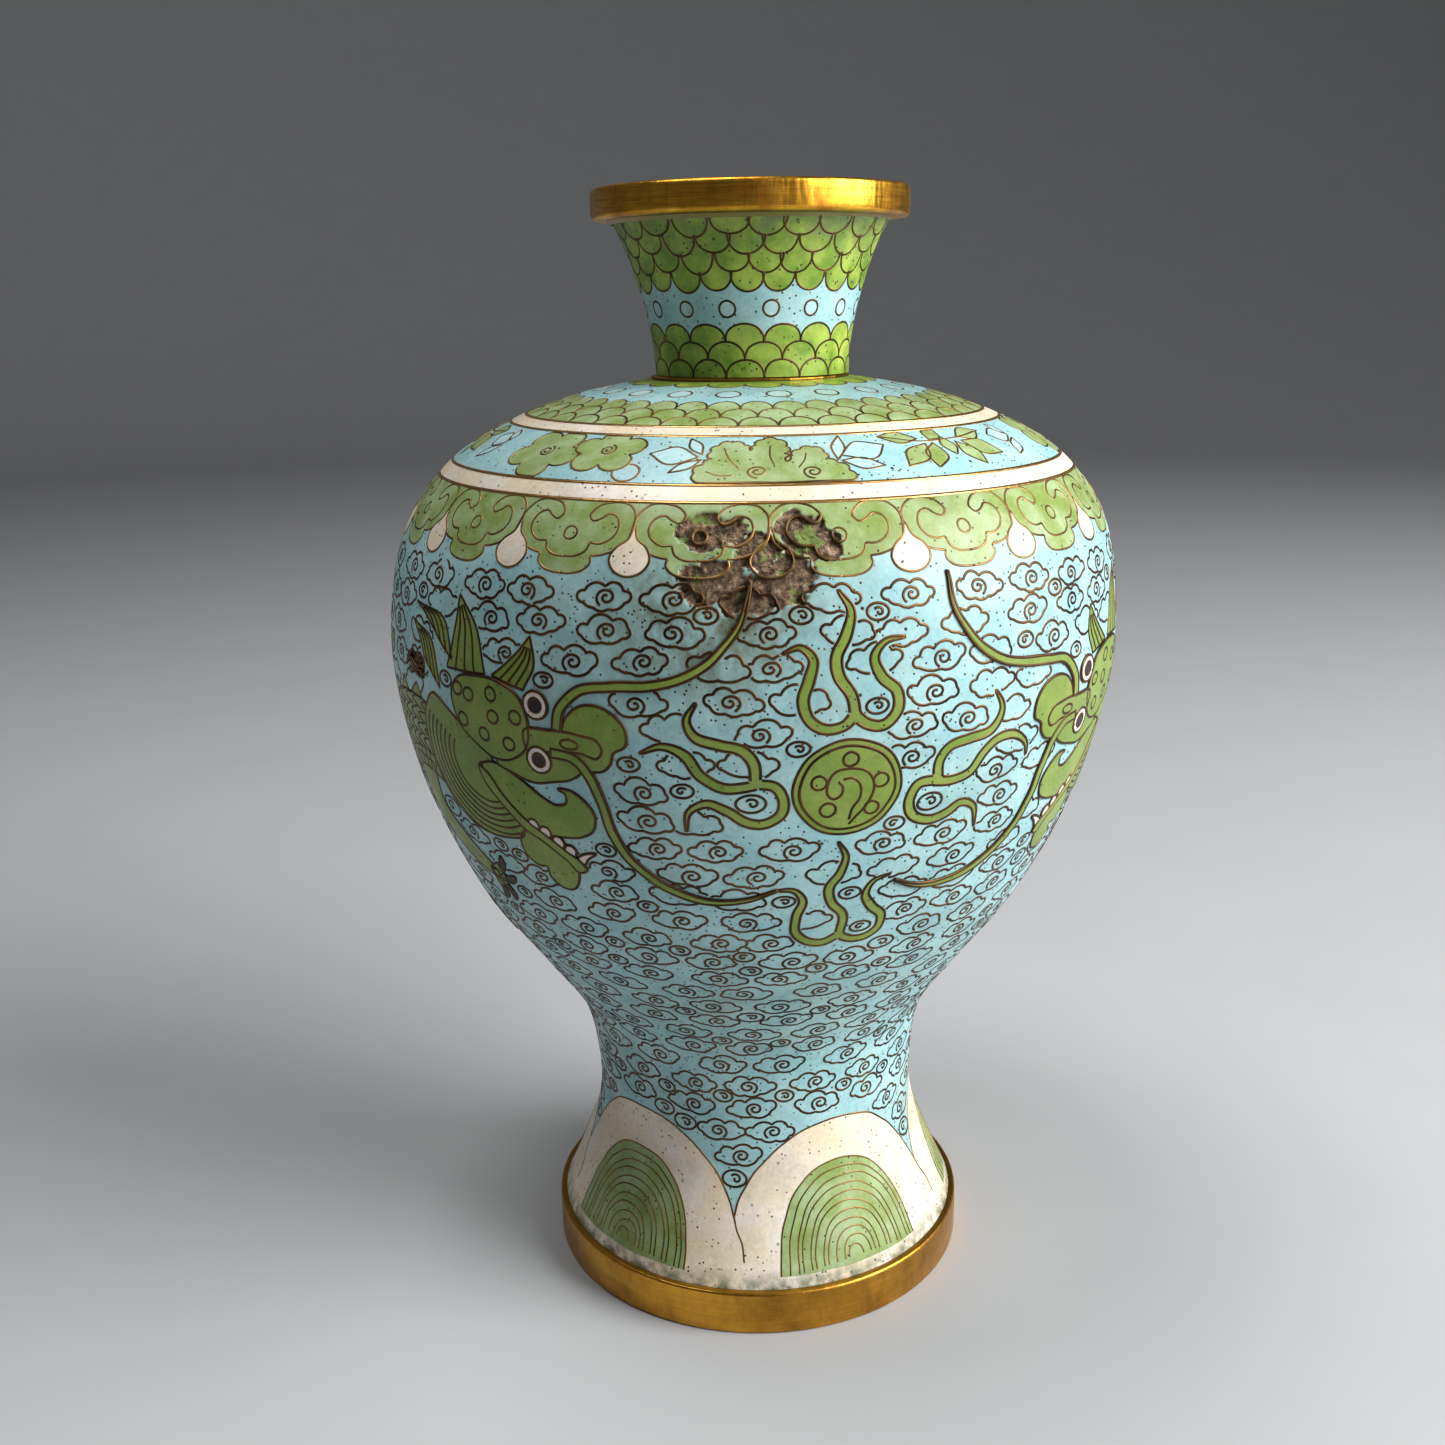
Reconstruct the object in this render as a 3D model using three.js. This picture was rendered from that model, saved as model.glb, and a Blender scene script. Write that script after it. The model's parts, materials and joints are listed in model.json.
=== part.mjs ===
// Cloisonne baluster vase: beaten copper shells brazed together, enamel bands laid on them between
// drawn wires, counter-enamel linings, and turned gilt rings at the mouth and the foot.
// Millimetres, +Z up. The vase stands on z = 0 and its axis is the Z axis.
import * as THREE from "three";

// ---- driving dimensions -------------------------------------------------------------------------
const HEIGHT = 203;             // foot to lip
const FACETS = 32;              // sides of every turned piece
const ENAMEL = 0.8;             // enamel on the outside of the copper
const COPPER = 1.0;             // beaten copper sheet
const LINING = 0.5;             // counter-enamel inside
const WIRE = 0.35;              // drawn border wires
const SEAM = 0.8;               // width of a brazed seam between two copper sections
const MAX_STEP = 15;            // longest flat in the outline of a shell
const STEEP = 0.7;              // rise per unit length above which the end of a wall is cut level
const HAIR = 0.05;              // gap left between two pieces that nearly touch

const FOOT_RING = { outer: 40.9, inner: 37.6, height: 8.5, edge: 0.6 };
const BASE = { underside: 6.4, plate: 1.0, enamel: 0.6, play: 0.2 };
const MOUTH_RING = { outer: 27.9, inner: 22.1, height: 5.2, edge: 0.9 };
const NECK_SOCKET = 2.6;        // how far the neck reaches down inside the shoulder
const NECK_WIRE = { width: 1.4, height: 0.5 };
const MOUTH_BEAD = 0.7;         // solder fillet under the mouth ring

const COLOURS = {
  gilt: { color: 0xb98a2e, roughness: 0.3, metalness: 1 },
  copper: { color: 0x9a5a38, roughness: 0.55, metalness: 1 },
  solder: { color: 0x8d7f6a, roughness: 0.5, metalness: 1 },
  turquoise: { color: 0x6fb9c6, roughness: 0.3, metalness: 0 },
  green: { color: 0x5f8a35, roughness: 0.35, metalness: 0 },
  cream: { color: 0xd9cdb8, roughness: 0.35, metalness: 0 },
};

// ---- the outline --------------------------------------------------------------------------------
// Outer surface of the enamel as (radius, height): the foot flares up into the waist, the belly
// swells to the high shoulder, and the shoulder turns in almost level to the neck.
const BODY_OUTLINE = new THREE.SplineCurve([
  new THREE.Vector2(39.6, 8.5),
  new THREE.Vector2(35.6, 17.5),
  new THREE.Vector2(31.8, 28.5),
  new THREE.Vector2(31.5, 40),
  new THREE.Vector2(34.2, 53),
  new THREE.Vector2(43, 66.2),
  new THREE.Vector2(53, 80.6),
  new THREE.Vector2(61.2, 99),
  new THREE.Vector2(65.6, 117),
  new THREE.Vector2(66.2, 131),
  new THREE.Vector2(63.2, 146),
  new THREE.Vector2(55.5, 157),
  new THREE.Vector2(44.5, 163.8),
  new THREE.Vector2(31.5, 168.4),
  new THREE.Vector2(17.4, 171),
]);

// The neck opens like a trumpet from the shoulder to the mouth ring.
const NECK_FOOT = 171.6;
const NECK_OUTLINE = new THREE.SplineCurve([
  new THREE.Vector2(17.3, NECK_FOOT),
  new THREE.Vector2(17.6, 176.6),
  new THREE.Vector2(19, 183.5),
  new THREE.Vector2(21.6, 191.8),
  new THREE.Vector2(24.4, HEIGHT - MOUTH_RING.height),
]);

// Where each enamel band begins, measured along the outline from its lower end.
const BODY_BANDS = [
  { name: "lappet_enamel", from: 0, finish: "cream" },
  { name: "waist_cloud_enamel", from: 30, finish: "turquoise" },
  { name: "dragon_field_enamel", from: 62, finish: "turquoise" },
  { name: "ruyi_band_enamel", from: 147, finish: "green" },
  { name: "lower_white_enamel", from: 159.5, finish: "cream", bordered: true },
  { name: "floral_band_enamel", from: 162.8, finish: "turquoise" },
  { name: "upper_white_enamel", from: 175.2, finish: "cream", bordered: true },
  { name: "shoulder_scale_enamel", from: 178.3, finish: "green" },
  { name: "collar_dot_enamel", from: 188.6, finish: "turquoise" },
  { name: "collar_scale_enamel", from: 198.5, finish: "green" },
];
const NECK_BANDS = [
  { name: "neck_lower_scale_enamel", from: 0, finish: "green" },
  { name: "neck_dot_enamel", from: 8.8, finish: "turquoise" },
  { name: "neck_upper_scale_enamel", from: 14, finish: "green" },
];

// Copper sections of the body, with the brazed seam that joins each to the one above it.
const BODY_SECTIONS = [
  { name: "foot_core", from: 0, seam: "foot_seam" },
  { name: "lower_body_core", from: 36, seam: "belly_seam" },
  { name: "upper_body_core", from: 112, seam: null },
];

// ---- shells of revolution -----------------------------------------------------------------------
const group = new THREE.Group();

/** Adds one turned piece: a closed (radius, height) profile spun about the Z axis. */
function turn(name, profile, finish) {
  const points = profile.map(([r, z]) => new THREE.Vector2(r, z));
  if (points[0].x > 0) points.push(points[0].clone());
  const geometry = new THREE.LatheGeometry(points, FACETS);
  geometry.rotateX(Math.PI / 2);
  const mesh = new THREE.Mesh(geometry, new THREE.MeshStandardMaterial(COLOURS[finish]));
  mesh.name = name;
  group.add(mesh);
}

/**
 * The point of an outline at arc length s, moved inwards through the wall by depth. A steep end is cut
 * level instead of square to the wall, so that it seats on the ring below or above it.
 */
function wallPoint(outline, s, depth) {
  const length = outline.getLength();
  const point = outline.getPointAt(s / length);
  const tangent = outline.getTangentAt(s / length);
  const steepEnd = (s === 0 || s === length) && tangent.y > STEEP;
  if (steepEnd) return [point.x - depth / tangent.y, point.y];
  return [point.x - tangent.y * depth, point.y + tangent.x * depth];
}

/** Every place along an outline where some shell has a corner, so that neighbours share corners. */
function stationsAlong(outline, breaks) {
  const ends = [...new Set([0, ...breaks, outline.getLength()])].sort((a, b) => a - b);
  const stations = [];
  for (let i = 0; i < ends.length - 1; i++) {
    const length = ends[i + 1] - ends[i];
    const steps = Math.ceil(length / MAX_STEP);
    for (let k = 0; k < steps; k++) stations.push(ends[i] + (length * k) / steps);
  }
  stations.push(outline.getLength());
  return stations;
}

/** A shell that follows an outline from one arc length to another, between two depths. */
function shell(name, outline, stations, from, to, outerDepth, innerDepth, finish) {
  const span = stations.filter((s) => s >= from && s <= to);
  const outside = span.map((s) => wallPoint(outline, s, outerDepth));
  const inside = span.map((s) => wallPoint(outline, s, innerDepth)).reverse();
  turn(name, [...outside, ...inside], finish);
}

/** The bands of one outline, with a wire ring at each edge of a bordered band. */
function enamelBands(outline, stations, bands) {
  bands.forEach((band, i) => {
    const to = i + 1 < bands.length ? bands[i + 1].from : outline.getLength();
    const inset = band.bordered ? WIRE : 0;
    shell(band.name, outline, stations, band.from + inset, to - inset, 0, ENAMEL, band.finish);
    if (!band.bordered) return;
    const wireName = band.name.replace("enamel", "wire");
    shell(`${wireName}_lower`, outline, stations, band.from, band.from + WIRE, 0, ENAMEL, "gilt");
    shell(`${wireName}_upper`, outline, stations, to - WIRE, to, 0, ENAMEL, "gilt");
  });
}

/** Arc lengths where the bands of an outline have edges, wires included. */
function bandBreaks(outline, bands) {
  return bands.flatMap((band, i) => {
    if (!band.bordered) return [band.from];
    const to = bands[i + 1].from;
    return [band.from, band.from + WIRE, to - WIRE];
  });
}

const COPPER_OUT = ENAMEL;
const COPPER_IN = ENAMEL + COPPER;
const LINING_IN = COPPER_IN + LINING;

// ---- body ---------------------------------------------------------------------------------------
const bodyEnd = BODY_OUTLINE.getLength();
const sectionBreaks = BODY_SECTIONS.flatMap(({ from }) => (from > 0 ? [from - SEAM, from] : []));
const bodyStations = stationsAlong(BODY_OUTLINE, [...bandBreaks(BODY_OUTLINE, BODY_BANDS), ...sectionBreaks]);

enamelBands(BODY_OUTLINE, bodyStations, BODY_BANDS);

BODY_SECTIONS.forEach(({ name, from, seam }, i) => {
  const next = i + 1 < BODY_SECTIONS.length ? BODY_SECTIONS[i + 1].from : bodyEnd;
  const to = seam ? next - SEAM : next;
  shell(name, BODY_OUTLINE, bodyStations, from, to, COPPER_OUT, COPPER_IN, "copper");
  if (seam) shell(seam, BODY_OUTLINE, bodyStations, to, next, COPPER_OUT, COPPER_IN, "solder");
});

const liningBreak = BODY_SECTIONS[2].from;
shell("lower_lining", BODY_OUTLINE, bodyStations, 0, liningBreak, COPPER_IN, LINING_IN, "turquoise");
shell("upper_lining", BODY_OUTLINE, bodyStations, liningBreak, bodyEnd, COPPER_IN, LINING_IN, "turquoise");

// ---- neck ---------------------------------------------------------------------------------------
const neckEnd = NECK_OUTLINE.getLength();
const neckStations = stationsAlong(NECK_OUTLINE, bandBreaks(NECK_OUTLINE, NECK_BANDS));

enamelBands(NECK_OUTLINE, neckStations, NECK_BANDS);

// The neck's copper carries on straight down through the shoulder, into the socket.
const neckOutside = neckStations.map((s) => wallPoint(NECK_OUTLINE, s, COPPER_OUT));
const neckInside = neckStations.map((s) => wallPoint(NECK_OUTLINE, s, COPPER_IN)).reverse();
const socketFoot = NECK_FOOT - NECK_SOCKET;
const neckFootRadius = neckOutside[0][0];
turn("neck_core", [
  [neckFootRadius, socketFoot],
  ...neckOutside,
  ...neckInside,
  [neckInside[neckInside.length - 1][0], socketFoot],
], "copper");
shell("neck_lining", NECK_OUTLINE, neckStations, 0, neckEnd, COPPER_IN, LINING_IN, "turquoise");

// The neck is brazed into the shoulder, and a wire covers the joint.
const wireFoot = NECK_FOOT - NECK_WIRE.height;
turn("neck_seam", [
  [neckFootRadius, wallPoint(BODY_OUTLINE, bodyEnd, COPPER_IN)[1]],
  wallPoint(BODY_OUTLINE, bodyEnd, COPPER_IN),
  wallPoint(BODY_OUTLINE, bodyEnd, COPPER_OUT),
  wallPoint(BODY_OUTLINE, bodyEnd, 0),
  [neckFootRadius, wireFoot],
], "solder");
turn("neck_base_wire", [
  [neckFootRadius, wireFoot],
  [neckFootRadius + NECK_WIRE.width, wireFoot],
  [neckFootRadius + NECK_WIRE.width, NECK_FOOT - NECK_WIRE.height / 2],
  [neckFootRadius + NECK_WIRE.width / 2, NECK_FOOT - HAIR],
  [neckFootRadius, NECK_FOOT - HAIR],
], "gilt");

// ---- mouth --------------------------------------------------------------------------------------
const mouthFoot = HEIGHT - MOUTH_RING.height;
turn("mouth_ring", [
  [MOUTH_RING.inner, mouthFoot],
  [MOUTH_RING.outer - MOUTH_RING.edge / 2, mouthFoot],
  [MOUTH_RING.outer, mouthFoot + MOUTH_RING.edge / 2],
  [MOUTH_RING.outer, HEIGHT - MOUTH_RING.edge],
  [MOUTH_RING.outer - MOUTH_RING.edge, HEIGHT],
  [MOUTH_RING.inner + MOUTH_RING.edge, HEIGHT],
  [MOUTH_RING.inner, HEIGHT - MOUTH_RING.edge],
], "gilt");
// The solder fillet lies along the topmost flat of the neck, with a hair's gap to it.
const [topRadius, topHeight] = wallPoint(NECK_OUTLINE, neckEnd, 0);
const [flatRadius, flatHeight] = wallPoint(NECK_OUTLINE, neckStations[neckStations.length - 2], 0);
const flare = (topRadius - flatRadius) / (topHeight - flatHeight);
turn("mouth_solder", [
  [topRadius - flare * MOUTH_BEAD + HAIR, mouthFoot - MOUTH_BEAD],
  [topRadius + MOUTH_BEAD, mouthFoot - HAIR],
  [topRadius + HAIR, mouthFoot - HAIR],
], "solder");

// ---- foot ---------------------------------------------------------------------------------------
turn("foot_ring", [
  [FOOT_RING.inner, 0],
  [FOOT_RING.outer - FOOT_RING.edge, 0],
  [FOOT_RING.outer, FOOT_RING.edge],
  [FOOT_RING.outer, FOOT_RING.height - FOOT_RING.edge],
  [FOOT_RING.outer - FOOT_RING.edge, FOOT_RING.height],
  [FOOT_RING.inner, FOOT_RING.height],
], "gilt");
const plateTop = BASE.underside + BASE.plate;
turn("base_plate", [
  [0, BASE.underside],
  [FOOT_RING.inner, BASE.underside],
  [FOOT_RING.inner, plateTop],
  [0, plateTop],
], "copper");
turn("base_enamel", [
  [0, BASE.underside - BASE.enamel],
  [FOOT_RING.inner - BASE.play, BASE.underside - BASE.enamel],
  [FOOT_RING.inner - BASE.play, BASE.underside],
  [0, BASE.underside],
], "turquoise");

export default group;
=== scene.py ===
"""Looks of the cloisonne vase: enamel cells, drawn wires, gilt rings, lights and camera.

The CAD frame gives every place. The visual pieces stand for the plain CAD shells and lie on the same
walls, in the same frame. Inside this file lengths are millimetres; meshes are made in metres.
A place on the vase is (u, s): u is the distance round the vase from the front, to the right, measured
on a nominal radius of the pattern, and s is the distance up the outline of the wall.
"""
import json
import math
import random

import bpy
import numpy as np
from mathutils import Matrix, Vector
from mathutils.geometry import delaunay_2d_cdt


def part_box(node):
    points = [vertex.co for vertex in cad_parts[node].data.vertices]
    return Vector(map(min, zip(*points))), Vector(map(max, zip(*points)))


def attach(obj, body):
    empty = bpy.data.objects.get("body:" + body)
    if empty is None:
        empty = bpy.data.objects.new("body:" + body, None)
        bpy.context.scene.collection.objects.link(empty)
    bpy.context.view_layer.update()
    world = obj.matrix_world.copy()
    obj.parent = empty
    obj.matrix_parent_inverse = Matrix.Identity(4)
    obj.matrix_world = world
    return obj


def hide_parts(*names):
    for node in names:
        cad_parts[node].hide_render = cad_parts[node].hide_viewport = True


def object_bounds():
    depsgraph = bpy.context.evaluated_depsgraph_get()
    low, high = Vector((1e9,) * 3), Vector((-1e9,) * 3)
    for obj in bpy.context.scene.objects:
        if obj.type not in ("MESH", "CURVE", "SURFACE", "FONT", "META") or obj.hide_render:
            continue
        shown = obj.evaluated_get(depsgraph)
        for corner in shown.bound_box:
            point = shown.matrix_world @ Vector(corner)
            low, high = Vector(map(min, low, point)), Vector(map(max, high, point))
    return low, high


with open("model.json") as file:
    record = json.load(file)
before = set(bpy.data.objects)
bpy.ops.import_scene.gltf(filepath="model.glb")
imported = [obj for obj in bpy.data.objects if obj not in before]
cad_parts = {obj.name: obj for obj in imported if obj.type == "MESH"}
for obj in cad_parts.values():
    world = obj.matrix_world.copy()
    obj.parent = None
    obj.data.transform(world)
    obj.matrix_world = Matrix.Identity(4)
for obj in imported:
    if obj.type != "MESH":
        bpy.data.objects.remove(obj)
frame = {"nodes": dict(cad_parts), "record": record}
CAD_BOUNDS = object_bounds()

MM = 0.001
TAU = 2 * math.pi


# ---- sizes ----
def node_box(node):
    """Lowest and highest corners of a CAD node, in millimetres."""
    low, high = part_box(node)
    return np.array(low) / MM, np.array(high) / MM


HEIGHT = (CAD_BOUNDS[1][2] - CAD_BOUNDS[0][2]) / MM
FOOT_HIGH = node_box("foot_ring")[1]
MOUTH_LOW, MOUTH_HIGH = node_box("mouth_ring")
FOOT_TOP = FOOT_HIGH[2]
FOOT_RADIUS = FOOT_HIGH[0]
MOUTH_FOOT = MOUTH_LOW[2]
MOUTH_RADIUS = MOUTH_HIGH[0]

ENAMEL = 0.8                    # thickness of the enamel on the copper
WIRE_WIDTH = 0.53               # drawn wire, seen edge on
FINE_WIRE = 0.42                # the finer wire of the borders
WIRE_PROUD = 0.02               # how far it stands above the enamel that it holds
CELL_PROUD = 0.02               # a filled cell against the ground it lies in
CELL_DEEP = 0.25
LEVEL = 0.045                   # rise of a cell that lies over other cells
SIDES = 288                     # facets round a turned piece
WIRE_PIECE_FACES = 90000        # where a run of wires is split into another object
LOSS_DEPTH = 0.74               # depth of the chipped enamel

# Outline of the outer enamel surface as (radius, height), the same points as the CAD.
BODY_KNOTS = [(39.6, 8.5), (35.6, 17.5), (31.8, 28.5), (31.5, 40), (34.2, 53), (43, 66.2), (53, 80.6),
              (61.2, 99), (65.6, 117), (66.2, 131), (63.2, 146), (55.5, 157), (44.5, 163.8),
              (31.5, 168.4), (17.4, 171)]
NECK_KNOTS = [(17.3, 171.6), (17.6, 176.6), (19, 183.5), (21.6, 191.8), (24.4, MOUTH_FOOT)]
# The beaten body is a little out of true: sideways drift of its axis as (height, drift).
DRIFT_KNOTS = [(0, 0.1), (35, -0.25), (62, -0.8), (95, -0.55), (130, 0), (157, 0.85), (173, 0.4),
               (203, 0.25)]

# Edges of the bands, as distances up the wall.
RUYI_FOOT = 147.4
RUYI_GREEN = 154.6
LOWER_WHITE = (159.5, 162.8)
UPPER_WHITE = (175.2, 178.3)
SHOULDER_SCALES = dict(foot=UPPER_WHITE[1], rows=3, rise=3.45, count=40)
COLLAR_GREEN = 199.6
NECK_LOWER_SCALES = dict(foot=0.0, rows=3, rise=2.95, count=17)
NECK_UPPER_FOOT, NECK_UPPER_RISE, NECK_UPPER_COUNT = 14.3, 3.1, 23


# ---- curves ----
def span(a, b, leave, arrive, steps):
    """Points of a cubic from a towards b with the given slopes at its ends; b is left out."""
    t = np.linspace(0, 1, steps, endpoint=False)[:, None]
    cubic, square = 2 * a - 2 * b + leave + arrive, 3 * b - 3 * a - 2 * leave - arrive
    return cubic * t**3 + square * t**2 + leave * t + a


def spline_table(knots):
    """Uniform Catmull-Rom curve through the knots, as a dense list of points."""
    p = np.array(knots, float)
    spans = []
    for i in range(len(p) - 1):
        before, a, b, after = p[max(i - 1, 0)], p[i], p[i + 1], p[min(i + 2, len(p) - 1)]
        spans.append(span(a, b, (b - before) / 2, (after - a) / 2, 24))
    spans.append(p[-1:])
    return np.concatenate(spans)


def resample(points, step, closed=False):
    """The same polyline with even steps."""
    p = np.asarray(points, float)
    if closed:
        p = np.vstack([p, p[:1]])
    reach = np.concatenate([[0], np.cumsum(np.hypot(*np.diff(p, axis=0).T))])
    count = max(2, int(round(reach[-1] / step)) + 1)
    at = np.linspace(0, reach[-1], count)
    even = np.stack([np.interp(at, reach, p[:, k]) for k in range(2)], 1)
    return even[:-1] if closed else even


def curve(points, closed=False, step=0.3):
    """A smooth curve through given points, evenly sampled."""
    p = np.array(points, float)
    if closed:
        p = np.vstack([p[-1], p, p[0], p[1]])
    else:
        p = np.vstack([2 * p[0] - p[1], p, 2 * p[-1] - p[-2]])
    gaps = np.maximum(np.hypot(*np.diff(p, axis=0).T), 1e-6)
    slopes = np.diff(p, axis=0) / gaps[:, None]
    before, after = gaps[:-1, None], gaps[1:, None]
    tangents = (slopes[:-1] * after + slopes[1:] * before) / (before + after)
    spans = []
    for i in range(1, len(p) - 2):
        spans.append(span(p[i], p[i + 1], tangents[i - 1] * gaps[i], tangents[i] * gaps[i], 9))
    if not closed:
        spans.append(p[-2:-1])
    return resample(np.concatenate(spans), step, closed)


def leftward(line):
    """Unit vectors to the left of a line, one at each of its points."""
    tangent = np.gradient(line, axis=0)
    tangent /= np.hypot(*tangent.T)[:, None]
    return np.stack([-tangent[:, 1], tangent[:, 0]], 1)


def arc(a, b, bulge, steps=10):
    """Circular arc from a to b; bulge is its height over its chord, to the left of the way it runs."""
    a, b = np.array(a, float), np.array(b, float)
    if abs(bulge) < 1e-6:
        return np.linspace(a, b, steps)
    half = (b - a) / 2
    left = np.array([-half[1], half[0]])
    centre = (a + b) / 2 - left * (1 / (4 * bulge) - bulge)
    start = a - centre
    sweep = -4 * math.atan(2 * bulge)
    angles = np.linspace(0, sweep, steps)
    cos, sin = np.cos(angles), np.sin(angles)
    return centre + np.stack([start[0] * cos - start[1] * sin, start[0] * sin + start[1] * cos], 1)


def lobes(notches, bulges, closed=True):
    """Scalloped outline: an arc from each notch to the next, bulging to the left."""
    ends = list(notches) + ([notches[0]] if closed else [])
    runs = [arc(a, b, bulge)[:-1] for a, b, bulge in zip(ends[:-1], ends[1:], bulges)]
    if not closed:
        runs.append(np.array([ends[-1]], float))
    return np.concatenate(runs)


def circle(centre, radius, squash=1.0, steps=28):
    """A closed circle, or an ellipse where squash is not 1."""
    angle = np.linspace(0, TAU, steps, endpoint=False)
    return np.stack([centre[0] + radius * np.cos(angle), centre[1] + radius * squash * np.sin(angle)], 1)


def spiral(centre, outer, inner, turns, start):
    """A clockwise wire coil from its outside in; start is the angle of the outer end, in degrees."""
    t = np.linspace(0, 1, max(12, int(22 * turns)))
    radius = outer + (inner - outer) * t**0.85
    angle = math.radians(start) - TAU * turns * t
    return np.stack([centre[0] + radius * np.cos(angle), centre[1] + radius * np.sin(angle)], 1)


def moved(points, by=(0, 0), flip=False, scale=1.0, turn=0.0):
    """Points scaled, mirrored left to right, turned and then shifted."""
    p = np.array(points, float) * scale
    if flip:
        p[:, 0] *= -1
    cos, sin = math.cos(turn), math.sin(turn)
    return np.stack([p[:, 0] * cos - p[:, 1] * sin + by[0], p[:, 0] * sin + p[:, 1] * cos + by[1]], 1)


def strap(spine, width, tip=0.15, root=1.0):
    """Outline of a tapering strap along a smooth spine: pointed at its first point, full at its last."""
    line = curve(spine, step=0.35)
    along = np.linspace(0, 1, len(line))
    side = leftward(line)
    swell = np.clip(tip + (1 - tip) * np.minimum(along / 0.35, 1) ** 0.8, 0, 1)
    swell = swell * (1 + (root - 1) * along)
    half = (width / 2 * swell)[:, None]
    return np.concatenate([line + side * half, (line - side * half)[::-1]])


def inside(points, polygon):
    """Which points lie inside a closed polygon (even-odd rule)."""
    x, y = points[:, 0][:, None], points[:, 1][:, None]
    ax, ay = polygon[:, 0], polygon[:, 1]
    bx, by = np.roll(ax, -1), np.roll(ay, -1)
    crosses = (ay > y) != (by > y)
    rise = np.where(by == ay, 1e-12, by - ay)
    left = x < (bx - ax) * (y - ay) / rise + ax
    return (np.logical_and(crosses, left).sum(1) % 2).astype(bool)


# ---- walls ----
DRIFT = spline_table(DRIFT_KNOTS)


class Wall:
    """A wall of revolution, measured up its outline."""

    def __init__(self, knots):
        table = spline_table(knots)
        self.s = np.concatenate([[0], np.cumsum(np.hypot(*np.diff(table, axis=0).T))])
        self.r, self.z = table.T
        self.nr, self.nz = -leftward(table).T
        self.length = self.s[-1]

    def radius(self, s):
        """Radius of the wall at a distance up it."""
        return np.interp(s, self.s, self.r)

    def place(self, theta, s, height):
        """Points in millimetres; height is measured out of the enamel."""
        r, z = np.interp(s, self.s, self.r), np.interp(s, self.s, self.z)
        nr, nz = np.interp(s, self.s, self.nr), np.interp(s, self.s, self.nz)
        r, z = r + nr * height, z + nz * height
        drift = np.interp(z, DRIFT[:, 0], DRIFT[:, 1])
        return np.stack([drift + r * np.sin(theta), -r * np.cos(theta), z], -1)

    def normal(self, theta, s):
        """Unit vectors out of the wall."""
        nr, nz = np.interp(s, self.s, self.nr), np.interp(s, self.s, self.nz)
        return np.stack([nr * np.sin(theta), -nr * np.cos(theta), nz], -1)


BODY = Wall(BODY_KNOTS)
NECK = Wall(NECK_KNOTS)

# Chipped enamel as ellipses (u, s, half width, half height) on a radius of 60 mm.
LOSSES = [
    (-7.6, 154.6, 4.4, 3.6), (-3.6, 155.0, 2.6, 2.4), (6.4, 154.4, 4.2, 3.9),
    (9.4, 152.2, 3.2, 3.0), (-5.2, 146.6, 6.2, 3.8), (0.2, 151.4, 4.0, 3.2),
    (4.2, 147.2, 4.4, 4.6), (-1.0, 144.4, 5.2, 2.6), (-60.0, 128.6, 4.2, 2.4),
]
LOSS_RADIUS = 60.0
LOSS_EDGE = 0.22                # how quickly the broken edge drops
STAIN_PLACE = (-7.0, 142.0)     # middle of the dirt round the chips, in the same (u, s)
STAIN_SIZE = (15.0, 14.0)


def ripple(a, b):
    """Smooth repeatable noise of two coordinates in millimetres, about -1 to 1."""
    return (np.sin(1.9 * a + 1.3 * np.sin(1.1 * b)) * np.cos(1.7 * b + 1.1 * np.sin(1.4 * a))
            + 0.6 * np.sin(4.3 * a - 2.9 * b + 1.7) * np.cos(3.1 * a + 4.7 * b)) / 1.6


def loss_at(wall, theta, s):
    """How far the enamel has gone at a place: 0 whole, 1 chipped down to the copper."""
    theta, s = np.asarray(theta, float), np.asarray(s, float)
    if wall is not BODY:
        return np.zeros(np.broadcast(theta, s).shape)
    u = (np.mod(theta + math.pi, TAU) - math.pi) * LOSS_RADIUS
    depth = np.full(np.broadcast(u, s).shape, -9.0)
    for cu, cs, ru, rs in LOSSES:
        depth = np.maximum(depth, 1 - ((u - cu) / ru) ** 2 - ((s - cs) / rs) ** 2)
    near = depth > -1.5
    ragged = depth - 0.12 + 0.42 * ripple(0.55 * u, 0.6 * s) + 0.2 * ripple(1.3 * u + 5, 1.3 * s)
    return np.where(near, np.clip(ragged / LOSS_EDGE, 0, 1), 0.0)


def stain_at(theta, s):
    """How much dirt has crept into the glass round the chipped patch, 0 to 1."""
    across = (theta * LOSS_RADIUS - STAIN_PLACE[0]) / STAIN_SIZE[0]
    up = (s - STAIN_PLACE[1]) / STAIN_SIZE[1]
    return np.exp(-(across**2) - up**2)


def sink_at(wall, theta, s):
    """Depth of the broken surface under the polished one."""
    u = theta * LOSS_RADIUS
    rubble = 0.72 + 0.3 * ripple(0.7 * u, 0.9 * s) + 0.16 * ripple(2.6 * u, 2.6 * s)
    return loss_at(wall, theta, s) * LOSS_DEPTH * rubble


# ---- meshes ----
def linked_piece(name, points, faces, material, smooth):
    """An object from points in metres; its first faces, smooth in number, are shaded smooth."""
    mesh = bpy.data.meshes.new(name)
    mesh.from_pydata(points.tolist(), [], faces)
    mesh.polygons.foreach_set("use_smooth", [i < smooth for i in range(len(mesh.polygons))])
    mesh.materials.append(material)
    mesh.update()
    piece = bpy.data.objects.new(name, mesh)
    bpy.context.scene.collection.objects.link(piece)
    return piece


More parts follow.
